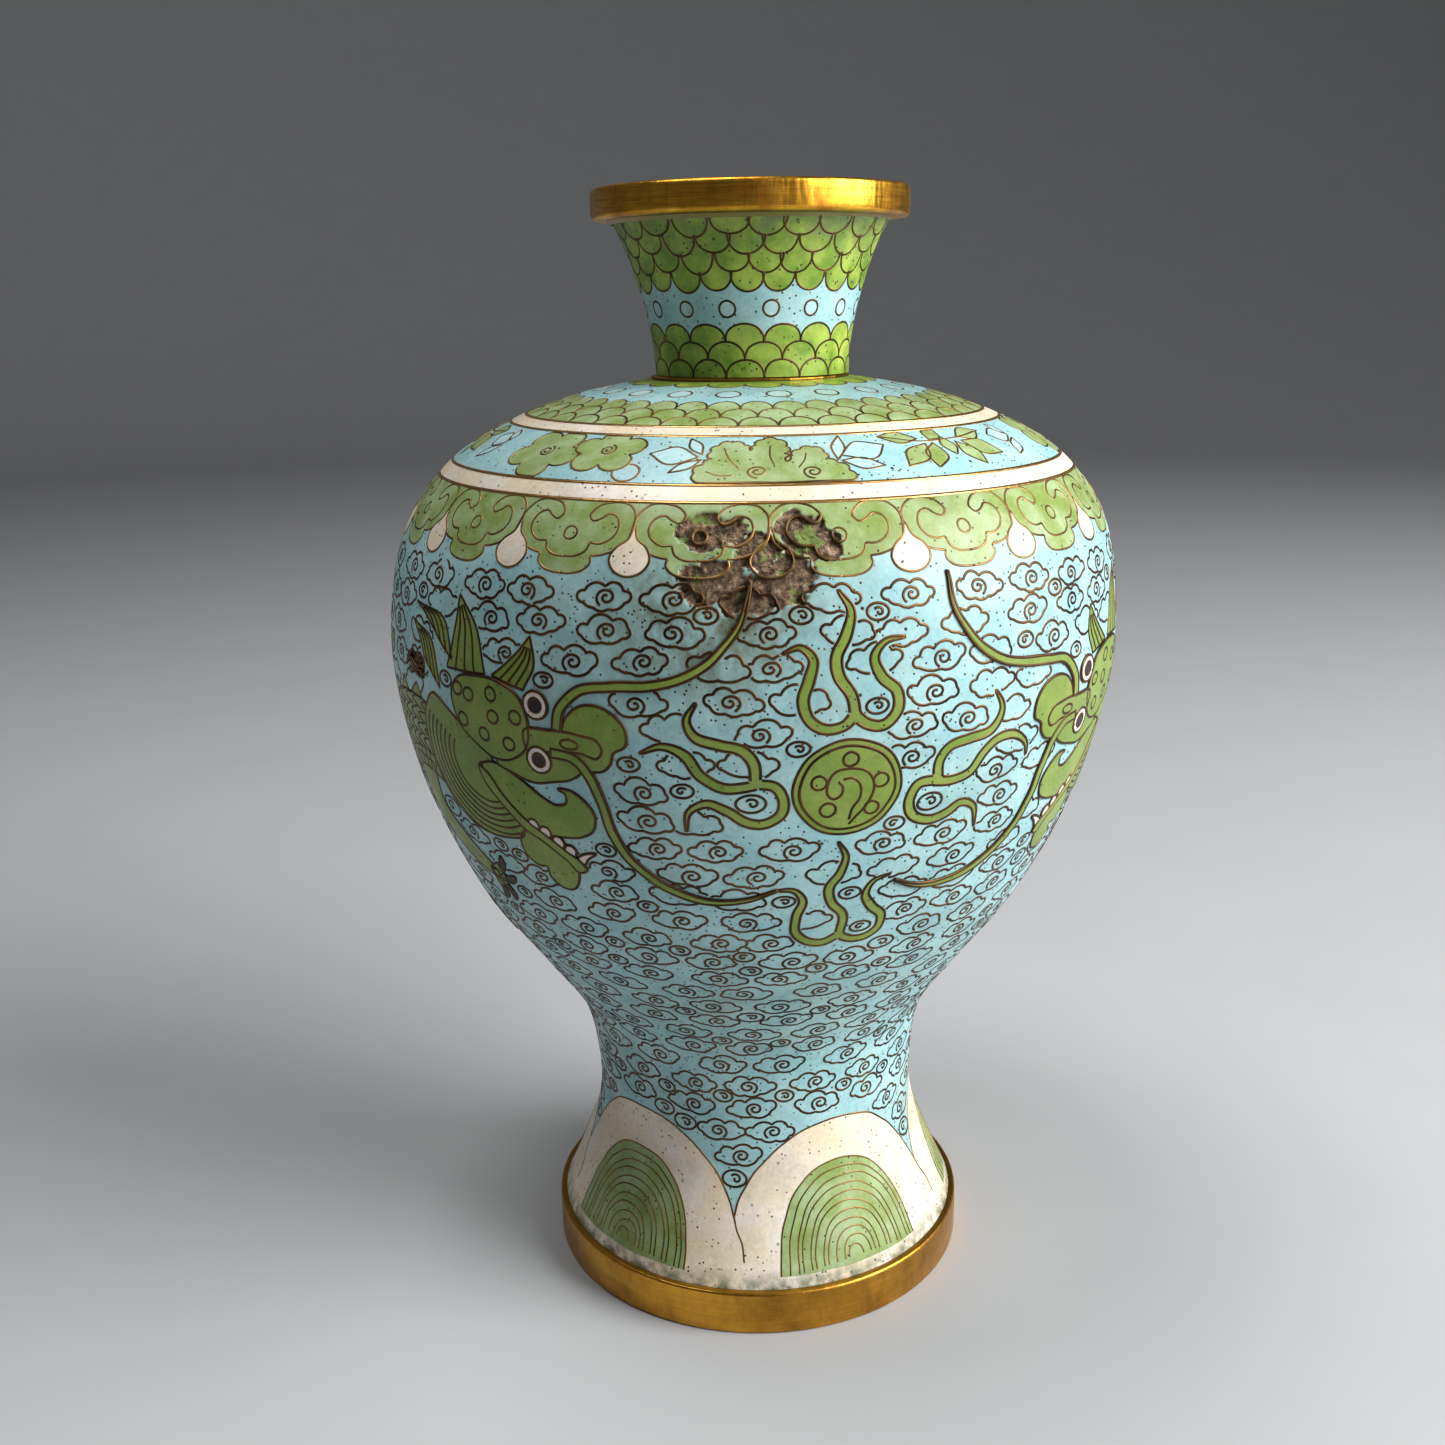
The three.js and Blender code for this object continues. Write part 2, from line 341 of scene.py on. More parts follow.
def make_object(name, points, faces, material, stands_for=(), loss=None, smooth=0, stain=None):
    """A piece of the vase from points in millimetres, with its values for loss and stain."""
    piece = linked_piece(name, np.asarray(points) * MM, faces, material, smooth)
    for layer_name, values in (("loss", loss), ("stain", stain)):
        if values is not None:
            layer = piece.data.attributes.new(layer_name, "FLOAT", "POINT")
            layer.data.foreach_set("value", np.asarray(values, np.float32))
    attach(piece, "root")
    for node in stands_for:
        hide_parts(node)
    return piece


def grid_faces(rows, columns, wrap_rows=False):
    """Quads of a grid of points stored row by row, each row a closed ring."""
    row = np.arange(rows if wrap_rows else rows - 1)
    a, b = np.meshgrid(row, np.arange(columns), indexing="ij")
    up, along = (a + 1) % rows, (b + 1) % columns
    corners = [a * columns + b, a * columns + along, up * columns + along, up * columns + b]
    return np.stack([c.ravel() for c in corners], 1).tolist()


def turned(name, profile, material, stands_for=()):
    """A turned ring from a closed (radius, height) profile, listed up its outside first."""
    profile = np.array(profile, float)
    theta = np.linspace(0, TAU, SIDES, endpoint=False)
    radius, angle = np.meshgrid(profile[:, 0], theta, indexing="ij")
    height = np.broadcast_to(profile[:, 1][:, None], radius.shape)
    drift = np.interp(height, DRIFT[:, 0], DRIFT[:, 1])
    points = np.stack([drift + radius * np.sin(angle), -radius * np.cos(angle), height], -1)
    faces = grid_faces(len(profile), SIDES, wrap_rows=True)
    return make_object(name, points.reshape(-1, 3), faces, material, stands_for, smooth=len(faces))


def rounded(corners, radius, steps=5):
    """A closed profile with every corner rounded off."""
    corners = [np.array(c, float) for c in corners]
    path = []
    for i, corner in enumerate(corners):
        before, after = corners[i - 1] - corner, corners[(i + 1) % len(corners)] - corner
        reach = min(radius, np.hypot(*before) * 0.45, np.hypot(*after) * 0.45)
        start = corner + before / np.hypot(*before) * reach
        end = corner + after / np.hypot(*after) * reach
        for t in np.linspace(0, 1, steps):
            path.append((1 - t) ** 2 * start + 2 * t * (1 - t) * corner + t * t * end)
    return path


def graded(start, end, step, fine_step, fine_zones):
    """Values from start to end that are closer together inside the fine zones."""
    values = [start]
    while values[-1] < end - 1e-6:
        here = values[-1]
        fine = any(low <= here <= high for low, high in fine_zones)
        ahead = [low for low, high in fine_zones if here < low < here + step]
        move = fine_step if fine else min([step] + [low - here for low in ahead])
        values.append(min(here + max(move, 1e-3), end))
    return np.array(values)


LIP = 0.03                      # width of the last strip of a shell, which keeps its edge crisp
BACK_STEP = 3.5                 # between the rows of the hidden side of a shell
LOSS_ZONES_S = [(125.5, 131.5), (140.5, 159.5)]
LOSS_ZONES_THETA = [(-65 / LOSS_RADIUS, -55 / LOSS_RADIUS), (-13.5 / LOSS_RADIUS, 12 / LOSS_RADIUS)]


def shell(name, wall, start, end, material, stands_for, fine=False, depths=(0.0, ENAMEL)):
    """A closed skin between two distances up a wall, lying between two depths below its surface."""
    fine_s = LOSS_ZONES_S if fine else []
    fine_theta = LOSS_ZONES_THETA if fine else []
    s_values = np.concatenate([[start], graded(start + LIP, end - LIP, 1.0, 0.3, fine_s), [end]])
    theta_values = graded(-math.pi, math.pi, TAU / SIDES, 0.32 / LOSS_RADIUS, fine_theta)[:-1]
    s_grid, theta_grid = np.meshgrid(s_values, theta_values, indexing="ij")
    sink = sink_at(wall, theta_grid, s_grid) if fine else np.zeros(s_grid.shape)
    lost = loss_at(wall, theta_grid, s_grid) if fine else np.zeros(s_grid.shape)
    outside = wall.place(theta_grid, s_grid, -sink - depths[0])
    back_s = np.linspace(end, start, max(2, math.ceil((end - start) / BACK_STEP) + 1))
    s_back, theta_back = np.meshgrid(back_s, theta_values, indexing="ij")
    back = wall.place(theta_back, s_back, -depths[1])
    points = np.concatenate([outside, back])
    loss = np.concatenate([lost, np.zeros(s_back.shape)])
    every_s = np.append(s_values, back_s)
    stain = stain_at(np.tile(theta_values, len(every_s)), np.repeat(every_s, len(theta_values)))
    faces = grid_faces(points.shape[0], points.shape[1], wrap_rows=True)
    outer_faces = (len(s_values) - 1) * len(theta_values)
    smooth = outer_faces if depths[0] == 0 else len(faces)
    return make_object(name, points.reshape(-1, 3), faces, material, stands_for,
                       loss.ravel(), smooth, stain if fine else None)


def visible_runs(line, hidden, closed=True):
    """The stretches of a line that are not hidden."""
    if not hidden.any():
        return [np.vstack([line, line[:1]]) if closed else line]
    order = np.arange(len(line))
    if closed:
        first = int(np.argmax(hidden))
        order = np.append(np.roll(order, -first), first)
    runs, run = [], []
    for k in order:
        if not hidden[k]:
            run.append(line[k])
            continue
        if len(run) > 3:
            runs.append(np.array(run))
        run = []
    if len(run) > 3:
        runs.append(np.array(run))
    return runs


class Pen:
    """Draws wires and fills cells on one wall, in (u, s) on a nominal radius."""

    def __init__(self, wall, radius, spacing=1.2, wander=0.06, width=WIRE_WIDTH, gilded=False):
        self.wander = wander            # unevenness of the hand-bent wires
        self.width = width              # of the wire
        self.gilded = gilded            # whether its wires have kept their gilding
        self.wall = wall
        self.nominal = radius
        self.spacing = spacing          # of the points inside a cell
        self.wires = []
        self.cells = {}

    def wire(self, points, closed=False, width=None, level=0, step=0.3):
        """Lays a wire along a line."""
        self.wires.append((resample(points, step, closed), closed, width or self.width, level))

    def cell(self, colour, outline, level=0):
        """Fills an outline with enamel."""
        self.cells.setdefault(colour, []).append((resample(outline, 0.7, closed=True), level))

    def shape(self, colour, outline, level=0):
        """A filled cell with its wire round it."""
        self.cell(colour, outline, level)
        self.wire(outline, closed=True, level=level)

    def merged(self, colour, outlines, level=0):
        """Cells that run into one another: the wire follows only the outside of the whole."""
        outlines = [resample(outline, 0.25, closed=True) for outline in outlines]
        for i, outline in enumerate(outlines):
            self.cell(colour, outline, level + 0.08 * i)
            hidden = np.zeros(len(outline), bool)
            for j, other in enumerate(outlines):
                if j != i:
                    hidden |= inside(outline, other)
            for run in visible_runs(outline, hidden):
                self.wire(run, level=level + 0.3)

    def to_wall(self, points):
        """(theta, s) of pattern points, with the small unevenness of a hand-bent wire."""
        theta = points[:, 0] / self.nominal
        s = points[:, 1]
        across = theta * self.wall.radius(s)
        wander_u = self.wander * np.sin(0.61 * across + 0.83 * s)
        wander_s = self.wander * np.sin(0.73 * s - 0.57 * across + 1)
        s = np.clip(s + wander_s, 0.02, self.wall.length - 0.02)
        return theta + wander_u / self.wall.radius(s), s

    def wire_mesh(self, points, closed, width, level):
        """A flat strip on edge that follows the line, sunk into the enamel."""
        theta, s = self.to_wall(points)
        spine = self.wall.place(theta, s, level * LEVEL)
        normal = self.wall.normal(theta, s)
        if closed:
            tangent = np.roll(spine, -1, 0) - np.roll(spine, 1, 0)
        else:
            tangent = np.gradient(spine, axis=0)
        side = np.cross(normal, tangent)
        side /= np.maximum(np.linalg.norm(side, axis=1), 1e-9)[:, None]
        deep = (0.08 + level * LEVEL + sink_at(self.wall, theta, s))[:, None]
        top = CELL_PROUD + WIRE_PROUD
        half = width / 2
        corners = [spine - side * half - normal * deep,
                   spine - side * half * 0.8 + normal * top,
                   spine + side * half * 0.8 + normal * top,
                   spine + side * half - normal * deep]
        rows, columns = len(points), 4
        faces = grid_faces(rows, columns, wrap_rows=closed)
        if not closed:
            last = (rows - 1) * columns
            faces += [[3, 2, 1, 0], [last, last + 1, last + 2, last + 3]]
        return np.stack(corners, 1).reshape(-1, 3), faces

    def wire_pieces(self, name, material):
        """Builds the wires as a few objects, each cut off once it holds more than WIRE_PIECE_FACES
        faces. Builds the wires as a few objects, none of them too heavy to export.
        """
        points, faces, count, made = [], [], 0, 0
        for wire in self.wires + [None]:
            if faces and (wire is None or len(faces) > WIRE_PIECE_FACES):
                made += 1
                make_object(f"{name}_wires_{made}", np.concatenate(points), faces, material,
                            smooth=len(faces))
                points, faces, count = [], [], 0
            if wire is None:
                break
            new_points, new_faces = self.wire_mesh(*wire)
            faces += [[corner + count for corner in face] for face in new_faces]
            points.append(new_points)
            count += len(new_points)

    def near_loss(self, outline):
        """Whether a cell reaches into the main patch of chipped enamel."""
        theta = outline[:, 0] / self.nominal
        in_theta = (theta > LOSS_ZONES_THETA[-1][0]) & (theta < LOSS_ZONES_THETA[-1][1])
        in_s = (outline[:, 1] > LOSS_ZONES_S[-1][0]) & (outline[:, 1] < LOSS_ZONES_S[-1][1])
        return self.wall is BODY and bool((in_theta & in_s).any())

    def cell_mesh(self, outline, level):
        """A solid cell: a triangulated top, its copy below, and a wall round them."""
        spacing = 0.3 if self.near_loss(outline) else self.spacing
        low, high = outline.min(0), outline.max(0)
        xs = np.arange(low[0] + spacing / 2, high[0], spacing)
        ys = np.arange(low[1] + spacing / 2, high[1], spacing)
        grid = np.stack(np.meshgrid(xs, ys), -1).reshape(-1, 2)
        if len(grid):
            grid = grid[inside(grid, outline)]
        if len(grid):
            gap = np.min(np.hypot(grid[:, None, 0] - outline[:, 0], grid[:, None, 1] - outline[:, 1]), 1)
            grid = grid[gap > spacing * 0.4]
        flat = np.concatenate([outline, grid]) if len(grid) else outline
        ring = list(range(len(outline)))
        solved = delaunay_2d_cdt([Vector(p) for p in flat], [], [ring], 1, 1e-6)
        flat = np.array([(p.x, p.y) for p in solved[0]])
        triangles = [list(face) for face in solved[2]]
        if not triangles:
            return None
        theta, s = self.to_wall(flat)
        sink = sink_at(self.wall, theta, s)
        rise = CELL_PROUD + level * LEVEL
        top = self.wall.place(theta, s, rise - sink)
        bottom = self.wall.place(theta, s, -CELL_DEEP - sink)
        edges = {pair for a, b, c in triangles for pair in ((a, b), (b, c), (c, a))}
        count = len(flat)
        faces = triangles + [[c + count, b + count, a + count] for a, b, c in triangles]
        faces += [[b, a, a + count, b + count] for a, b in sorted(edges) if (b, a) not in edges]
        lost = np.tile(loss_at(self.wall, theta, s), 2)
        return np.concatenate([top, bottom]), faces, lost

    def cell_pieces(self, name, colours):
        """Builds the cells, one object for each colour."""
        for colour, cells in self.cells.items():
            points, faces, losses, count = [], [], [], 0
            for outline, level in cells:
                built = self.cell_mesh(outline, level)
                if built is None:
                    continue
                new_points, new_faces, lost = built
                faces += [[corner + count for corner in face] for face in new_faces]
                points.append(new_points)
                losses.append(lost)
                count += len(new_points)
            material, slot = colours[colour]
            make_object(f"{name}_{colour}_cells", np.concatenate(points), faces, material,
                        stands_for=CELLS_STAND_FOR.get((name, colour), []),
                        loss=np.concatenate(losses))


# ---- materials ----
class Shader:
    """A small helper that wires up one procedural material."""

    def __init__(self, name):
        self.material = bpy.data.materials.new(name)
        self.material.use_nodes = True
        self.nodes = self.material.node_tree.nodes
        self.links = self.material.node_tree.links
        self.surface = self.nodes["Principled BSDF"]
        self.place = self.nodes.new("ShaderNodeTexCoord").outputs["Object"]

    def set(self, **values):
        """Sets plain values on the surface; underscores stand for spaces in a name."""
        for name, value in values.items():
            self.surface.inputs[name.replace("_", " ")].default_value = value

    def link(self, source, target):
        self.links.new(source, target)
        return target

    def noise(self, size, detail=4.0, roughness=0.55, stretch=None):
        """Noise whose features are about size millimetres."""
        node = self.nodes.new("ShaderNodeTexNoise")
        node.inputs["Scale"].default_value = 1 / (size * MM)
        node.inputs["Detail"].default_value = detail
        node.inputs["Roughness"].default_value = roughness
        self.link(self.stretched(stretch) if stretch else self.place, node.inputs["Vector"])
        return node.outputs["Fac"]

    def height(self):
        """Height up the vase, 0 at the foot and 1 at the rim."""
        parts = self.nodes.new("ShaderNodeSeparateXYZ")
        self.link(self.place, parts.inputs["Vector"])
        return self.multiply(parts.outputs["Z"], 1 / (HEIGHT * MM))

    def stretched(self, scale):
        """The place, scaled by a different amount along each axis."""
        node = self.nodes.new("ShaderNodeMapping")
        node.inputs["Scale"].default_value = scale
        self.link(self.place, node.inputs["Vector"])
        return node.outputs["Vector"]

    def specks(self, size):
        """Distance to the nearest of many scattered points, size millimetres apart."""
        node = self.nodes.new("ShaderNodeTexVoronoi")
        node.inputs["Scale"].default_value = 1 / (size * MM)
        self.link(self.place, node.inputs["Vector"])
        return node.outputs["Distance"]

    def ramp(self, source, stops):
        """Maps a value to another through (position, value) stops."""
        node = self.nodes.new("ShaderNodeValToRGB")
        elements = node.color_ramp.elements
        while len(elements) < len(stops):
            elements.new(0.5)
        for element, (position, value) in zip(elements, stops):
            element.position = position
            colour = value if isinstance(value, tuple) else (value, value, value)
            element.color = (*colour, 1)
        self.link(source, node.inputs["Fac"])
        return node.outputs["Color"]

    def mix(self, factor, a, b):
        """Mixes two colours; either may be a plain tuple."""
        node = self.nodes.new("ShaderNodeMix")
        node.data_type = "RGBA"
        self.link(factor, node.inputs["Factor"])
        for value, socket in ((a, node.inputs[6]), (b, node.inputs[7])):
            if isinstance(value, tuple):
                socket.default_value = (*value, 1)
            else:
                self.link(value, socket)
        return node.outputs[2]

    def combine(self, operation, a, b):
        """Math on a value and another, which may be a plain number."""
        node = self.nodes.new("ShaderNodeMath")
        node.operation = operation
        self.link(a, node.inputs[0])
        if isinstance(b, float):
            node.inputs[1].default_value = b
        else:
            self.link(b, node.inputs[1])
        return node.outputs[0]

    def multiply(self, a, b):
        return self.combine("MULTIPLY", a, b)

    def darken(self, colour, shade):
        """Colour times shade."""
        node = self.nodes.new("ShaderNodeMix")
        node.data_type = "RGBA"
        node.blend_type = "MULTIPLY"
        node.inputs["Factor"].default_value = 1.0
        self.link(colour, node.inputs[6])
        self.link(shade, node.inputs[7])
        return node.outputs[2]

    def attribute(self, name):
        """A value stored on the points of the mesh; 0 where there is none."""
        node = self.nodes.new("ShaderNodeAttribute")
        node.attribute_name = name
        return node.outputs["Fac"]

    def bump(self, height, distance, strength=1.0, after=None):
        """Relief of distance millimetres."""
        node = self.nodes.new("ShaderNodeBump")
        node.inputs["Strength"].default_value = strength
        node.inputs["Distance"].default_value = distance * MM
        self.link(height, node.inputs["Height"])
        if after is not None:
            self.link(after, node.inputs["Normal"])
        return node.outputs["Normal"]


BARE_COPPER = (0.024, 0.015, 0.008)
BARE_COPPER_WORN = (0.150, 0.095, 0.055)
# Palest tone of the bare copper: painted glints of light on the broken metal.
BARE_COPPER_PAINTED_GLINT = (0.50, 0.34, 0.22)
GREEN_SCRAPS = (0.150, 0.220, 0.050)
PIT_DIRT = (0.035, 0.027, 0.017)
GRIME = (0.150, 0.165, 0.095)
STAIN = (0.105, 0.105, 0.042)


def enamel(name, clear, cloudy, pitted=0.5, roughness=0.32, mottle_size=7.0, grimy=0.42):
    """Fired glass: two close tints, pits filled with dirt, and bare copper with painted glints where it
    is lost.
    """
    m = Shader(name)
    mottle = m.ramp(m.noise(mottle_size, detail=6), [(0.38, 0.0), (0.64, 1.0)])
    colour = m.mix(mottle, clear, cloudy)
    grain = m.ramp(m.noise(0.7, detail=4), [(0.3, 0.84), (0.66, 1.0)])
    colour = m.darken(colour, grain)
    grime = m.ramp(m.noise(17.0, detail=8, roughness=0.72), [(0.48, 0.0), (0.78, grimy)])
    colour = m.mix(grime, colour, GRIME)
    # Grime-coloured patches by height: dirt at the worn edge by the foot, and a darkening, twice as
    # strong, towards the rim.
    darker_ends = m.ramp(m.height(), [(0.043, 1.0), (0.058, 0.0), (0.935, 0.0), (0.98, 2 * grimy)])
    patchy = m.ramp(m.noise(2.4, detail=5), [(0.36, 0.0), (0.6, 1.0)])
    colour = m.mix(m.multiply(darker_ends, patchy), colour, GRIME)
    streaky = m.ramp(m.noise(3.4, detail=8, roughness=0.7, stretch=(1.0, 1.0, 0.6)),
                     [(0.34, 0.0), (0.62, 1.0)])
    colour = m.mix(m.multiply(m.attribute("stain"), streaky), colour, STAIN)
    fine = m.ramp(m.specks(1.05), [(0.14, 1.0), (0.22, 0.0)])
    few = m.ramp(m.noise(3.0, detail=3), [(0.60 - 0.19 * pitted, 0.0), (0.65 - 0.19 * pitted, 1.0)])
    coarse = m.ramp(m.specks(3.1), [(0.07, 1.0), (0.12, 0.0)])
    rare = m.ramp(m.noise(11.0, detail=2), [(0.5, 0.0), (0.56, pitted)])
    dirt = m.combine("MAXIMUM", m.multiply(fine, few), m.multiply(coarse, rare))
    dirty = m.mix(dirt, colour, PIT_DIRT)
    loss = m.attribute("loss")
    broken = m.noise(1.3, detail=7, roughness=0.78)
    # Bare copper from dark to pale; its palest tops are painted glints, not real metal colour.
    rubble = m.ramp(broken, [(0.38, BARE_COPPER), (0.52, BARE_COPPER_WORN), (0.66, BARE_COPPER_PAINTED_GLINT)])
    scraps = m.ramp(m.noise(3.6, detail=4), [(0.56, 0.0), (0.6, 0.85)])
    rubble = m.mix(scraps, rubble, GREEN_SCRAPS)
    final = m.mix(m.ramp(loss, [(0.1, 0.0), (0.45, 1.0)]), dirty, rubble)
    m.link(final, m.surface.inputs["Base Color"])
    dull = m.ramp(m.noise(5.0, detail=6), [(0.3, roughness - 0.08), (0.7, roughness + 0.12)])
    m.link(m.mix(loss, dull, (0.85, 0.85, 0.85)), m.surface.inputs["Roughness"])
    wavy = m.bump(m.noise(2.2, detail=3), 0.05, 0.6)
    m.link(m.bump(dirt, -0.06, 0.8, after=wavy), m.surface.inputs["Normal"])
    m.set(IOR=1.5, Specular_IOR_Level=0.3)
    return m.material


def wire_metal(name, brown, gilding):
    """Drawn wire: gilding that is left, over brass gone brown."""
    m = Shader(name)
    worn = m.ramp(m.noise(9.0, detail=4), [(0.38, 0.0), (0.7, 1.0)])
    m.link(m.mix(worn, brown, gilding), m.surface.inputs["Base Color"])
    m.link(m.ramp(m.noise(1.5), [(0.3, 0.36), (0.7, 0.52)]), m.surface.inputs["Roughness"])
    m.set(Metallic=0.85)
    return m.material


def gilt_metal(name, bright, dark, brushed, stain_size):
    """A gilt ring: fine turned marks along it, with dull brown stains."""
    m = Shader(name)
    lines = m.noise(0.35, detail=3, stretch=(0.04, 0.04, 1.0))
    streaks = m.ramp(m.noise(3.0, detail=6, roughness=0.7, stretch=(1.0, 1.0, 0.25)),
                     [(0.5, 0.0), (0.75, brushed)])
    stains = m.ramp(m.noise(stain_size, detail=6, roughness=0.65), [(0.42, 0.0), (0.72, 1.0)])
    colour = m.mix(stains, bright, dark)
    shaded = m.mix(m.ramp(lines, [(0.3, 0.0), (0.75, brushed)]), colour, dark)
    shaded = m.mix(streaks, shaded, dark)
    m.link(shaded, m.surface.inputs["Base Color"])
    m.link(m.mix(stains, (0.28, 0.28, 0.28), (0.52, 0.52, 0.52)), m.surface.inputs["Roughness"])
    beaten = m.bump(m.noise(4.0, detail=3, stretch=(1.0, 1.0, 0.3)), 0.3)
    m.link(m.bump(lines, 0.02, 0.5, after=beaten), m.surface.inputs["Normal"])
    m.set(Metallic=1.0)
    return m.material


def plain_metal(name, colour, dull, roughness):
    """Copper or solder that is never polished."""
    m = Shader(name)
    m.link(m.mix(m.noise(6.0, detail=5), colour, dull), m.surface.inputs["Base Color"])
    m.set(Metallic=0.85, Roughness=roughness)
    return m.material


def floor_material():
    """Plain pale paper."""
    m = Shader("floor paper")
    m.link(m.mix(m.noise(40.0, detail=3), (0.42, 0.425, 0.435), (0.45, 0.455, 0.46)),
           m.surface.inputs["Base Color"])
    m.set(Roughness=0.8)
    return m.material


TURQUOISE = enamel("turquoise enamel", (0.310, 0.560, 0.585), (0.415, 0.650, 0.655), pitted=1.0)
GREEN = enamel("green enamel", (0.175, 0.275, 0.038), (0.255, 0.335, 0.065), pitted=0.35)
NECK_GREEN_GLASS = enamel("neck green enamel", (0.160, 0.290, 0.028), (0.400, 0.520, 0.080), pitted=0.8,
                          mottle_size=5.0)
# A paler, greyer green than the dragons': partly its own tint and partly painted sheen, the look of the
# green glaze on the shoulder seen at a grazing angle. The ruyi heads, flowers and foot leaves use it
# too.
SHOULDER_GREEN_GLASS = enamel("shoulder green enamel", (0.245, 0.330, 0.085), (0.370, 0.480, 0.240),
                              pitted=0.5, mottle_size=5.0)
CREAM = enamel("cream enamel", (0.830, 0.680, 0.480), (0.860, 0.790, 0.690), pitted=0.6,
               mottle_size=11.0)
EYE_WHITE = enamel("eye white enamel", (0.80, 0.70, 0.60), (0.84, 0.76, 0.66), pitted=0.2,
                   grimy=0.15)
DARK = enamel("dark enamel", (0.012, 0.010, 0.009), (0.02, 0.016, 0.014), pitted=0.1, grimy=0.0)
PALE_BLUE = enamel("pale blue enamel", (0.40, 0.64, 0.67), (0.51, 0.72, 0.72), pitted=0.3)
LINING = enamel("lining enamel", (0.20, 0.42, 0.45), (0.26, 0.48, 0.50), pitted=0.8, roughness=0.4)
WIRE = wire_metal("wire metal", (0.042, 0.022, 0.010), (0.140, 0.070, 0.024))
GILDED_WIRE = wire_metal("gilded wire metal", (0.085, 0.047, 0.017), (0.360, 0.205, 0.065))
MOUTH_GILT = gilt_metal("mouth ring gilt", (0.98, 0.54, 0.05), (0.30, 0.095, 0.012), 0.75, 9.0)
FOOT_GILT = gilt_metal("foot ring gilt", (0.74, 0.37, 0.045), (0.17, 0.07, 0.014), 0.35, 18.0)
BORDER_WIRE = gilt_metal("border wire gilt", (0.62, 0.36, 0.12), (0.24, 0.12, 0.04), 0.2, 12.0)
COPPER = plain_metal("copper", (0.55, 0.27, 0.15), (0.30, 0.16, 0.09), 0.5)
SOLDER = plain_metal("solder", (0.45, 0.33, 0.16), (0.25, 0.18, 0.09), 0.45)
COLOURS = {  # material and slot
    "turquoise": (TURQUOISE, "turquoise_enamel"),
    "green": (GREEN, "green_enamel"),
    "cream": (CREAM, "cream_enamel"),
    "white": (EYE_WHITE, "cream_enamel"),
    "dark": (DARK, "green_enamel"),
    "pale": (PALE_BLUE, "turquoise_enamel"),
    "shoulder_green": (SHOULDER_GREEN_GLASS, "green_enamel"),
    "neck_green": (NECK_GREEN_GLASS, "green_enamel"),
    "copper": (COPPER, "copper"),
    "solder": (SOLDER, "solder"),
}


# ---- ground enamel and rings ----
SHOULDER_GREEN = SHOULDER_SCALES["foot"] + 2 * SHOULDER_SCALES["rise"]
NECK_GREEN = NECK_LOWER_SCALES["foot"] + 2 * NECK_LOWER_SCALES["rise"]
NECK_UPPER_GREEN = 17.6

CHIPPED = ("field_ground", "ruyi_ground")


def stack(wall, bands, depths=(0.0, ENAMEL)):
    """Shells up a wall, each from the top of the last, from (name, top, colour, nodes stood for)."""
    start = 0.0
    for name, top, colour, nodes in bands:
        material, slot = COLOURS[colour]
        shell(name, wall, start, top, material, nodes, name in CHIPPED, depths)
        start = top


stack(BODY, [
    ("field_ground", RUYI_GREEN, "turquoise", ["waist_cloud_enamel", "dragon_field_enamel"]),
    ("ruyi_ground", LOWER_WHITE[0], "shoulder_green", ["ruyi_band_enamel"]),
    ("lower_white_ground", LOWER_WHITE[1], "cream", ["lower_white_enamel"]),
    ("floral_ground", UPPER_WHITE[0], "turquoise", ["floral_band_enamel"]),
    ("upper_white_ground", UPPER_WHITE[1], "cream", ["upper_white_enamel"]),
    ("shoulder_ground", SHOULDER_GREEN, "shoulder_green", ["shoulder_scale_enamel"]),
    ("collar_ground", COLLAR_GREEN, "turquoise", ["collar_dot_enamel"]),
    ("collar_scale_ground", BODY.length, "green", ["collar_scale_enamel"]),
])
stack(NECK, [
    ("neck_lower_ground", NECK_GREEN, "neck_green", ["neck_lower_scale_enamel"]),
    ("neck_dot_ground", NECK_UPPER_GREEN, "turquoise", ["neck_dot_enamel"]),
    ("neck_upper_ground", NECK.length, "neck_green", ["neck_upper_scale_enamel"]),
])

# The copper under the enamel, and the brazed seams that join its sections.
FOOT_SEAM, BELLY_SEAM, SEAM_WIDTH = 35.2, 111.2, 0.8
COPPER_DEPTHS = (ENAMEL, ENAMEL + 1.0)
stack(BODY, [
    ("foot_core_beaten", FOOT_SEAM, "copper", ["foot_core"]),
    ("foot_seam_run", FOOT_SEAM + SEAM_WIDTH, "solder", ["foot_seam"]),
    ("lower_core_beaten", BELLY_SEAM, "copper", ["lower_body_core"]),
    ("belly_seam_run", BELLY_SEAM + SEAM_WIDTH, "solder", ["belly_seam"]),
    ("upper_core_beaten", BODY.length, "copper", ["upper_body_core"]),
], COPPER_DEPTHS)
stack(NECK, [("neck_core_beaten", NECK.length, "copper", ["neck_core"])], COPPER_DEPTHS)


def ring_profile(outer, inner, low, high, edge):
    """Closed section of a flat-sided ring, listed up its outside and down its bore."""
    return rounded([(inner, low), (outer, low), (outer, high), (inner, high)], edge)


FOOT_BORE, FOOT_EDGE = 37.6, 0.7
MOUTH_BORE, MOUTH_EDGE = 22.1, 0.9
turned("foot_ring_turned", ring_profile(FOOT_RADIUS, FOOT_BORE, 0.0, FOOT_TOP, FOOT_EDGE),
       FOOT_GILT, ["foot_ring"])
turned("mouth_ring_turned", ring_profile(MOUTH_RADIUS, MOUTH_BORE, MOUTH_FOOT, HEIGHT, MOUTH_EDGE),
       MOUTH_GILT, ["mouth_ring"])


BORDER_WIDTH = 0.62


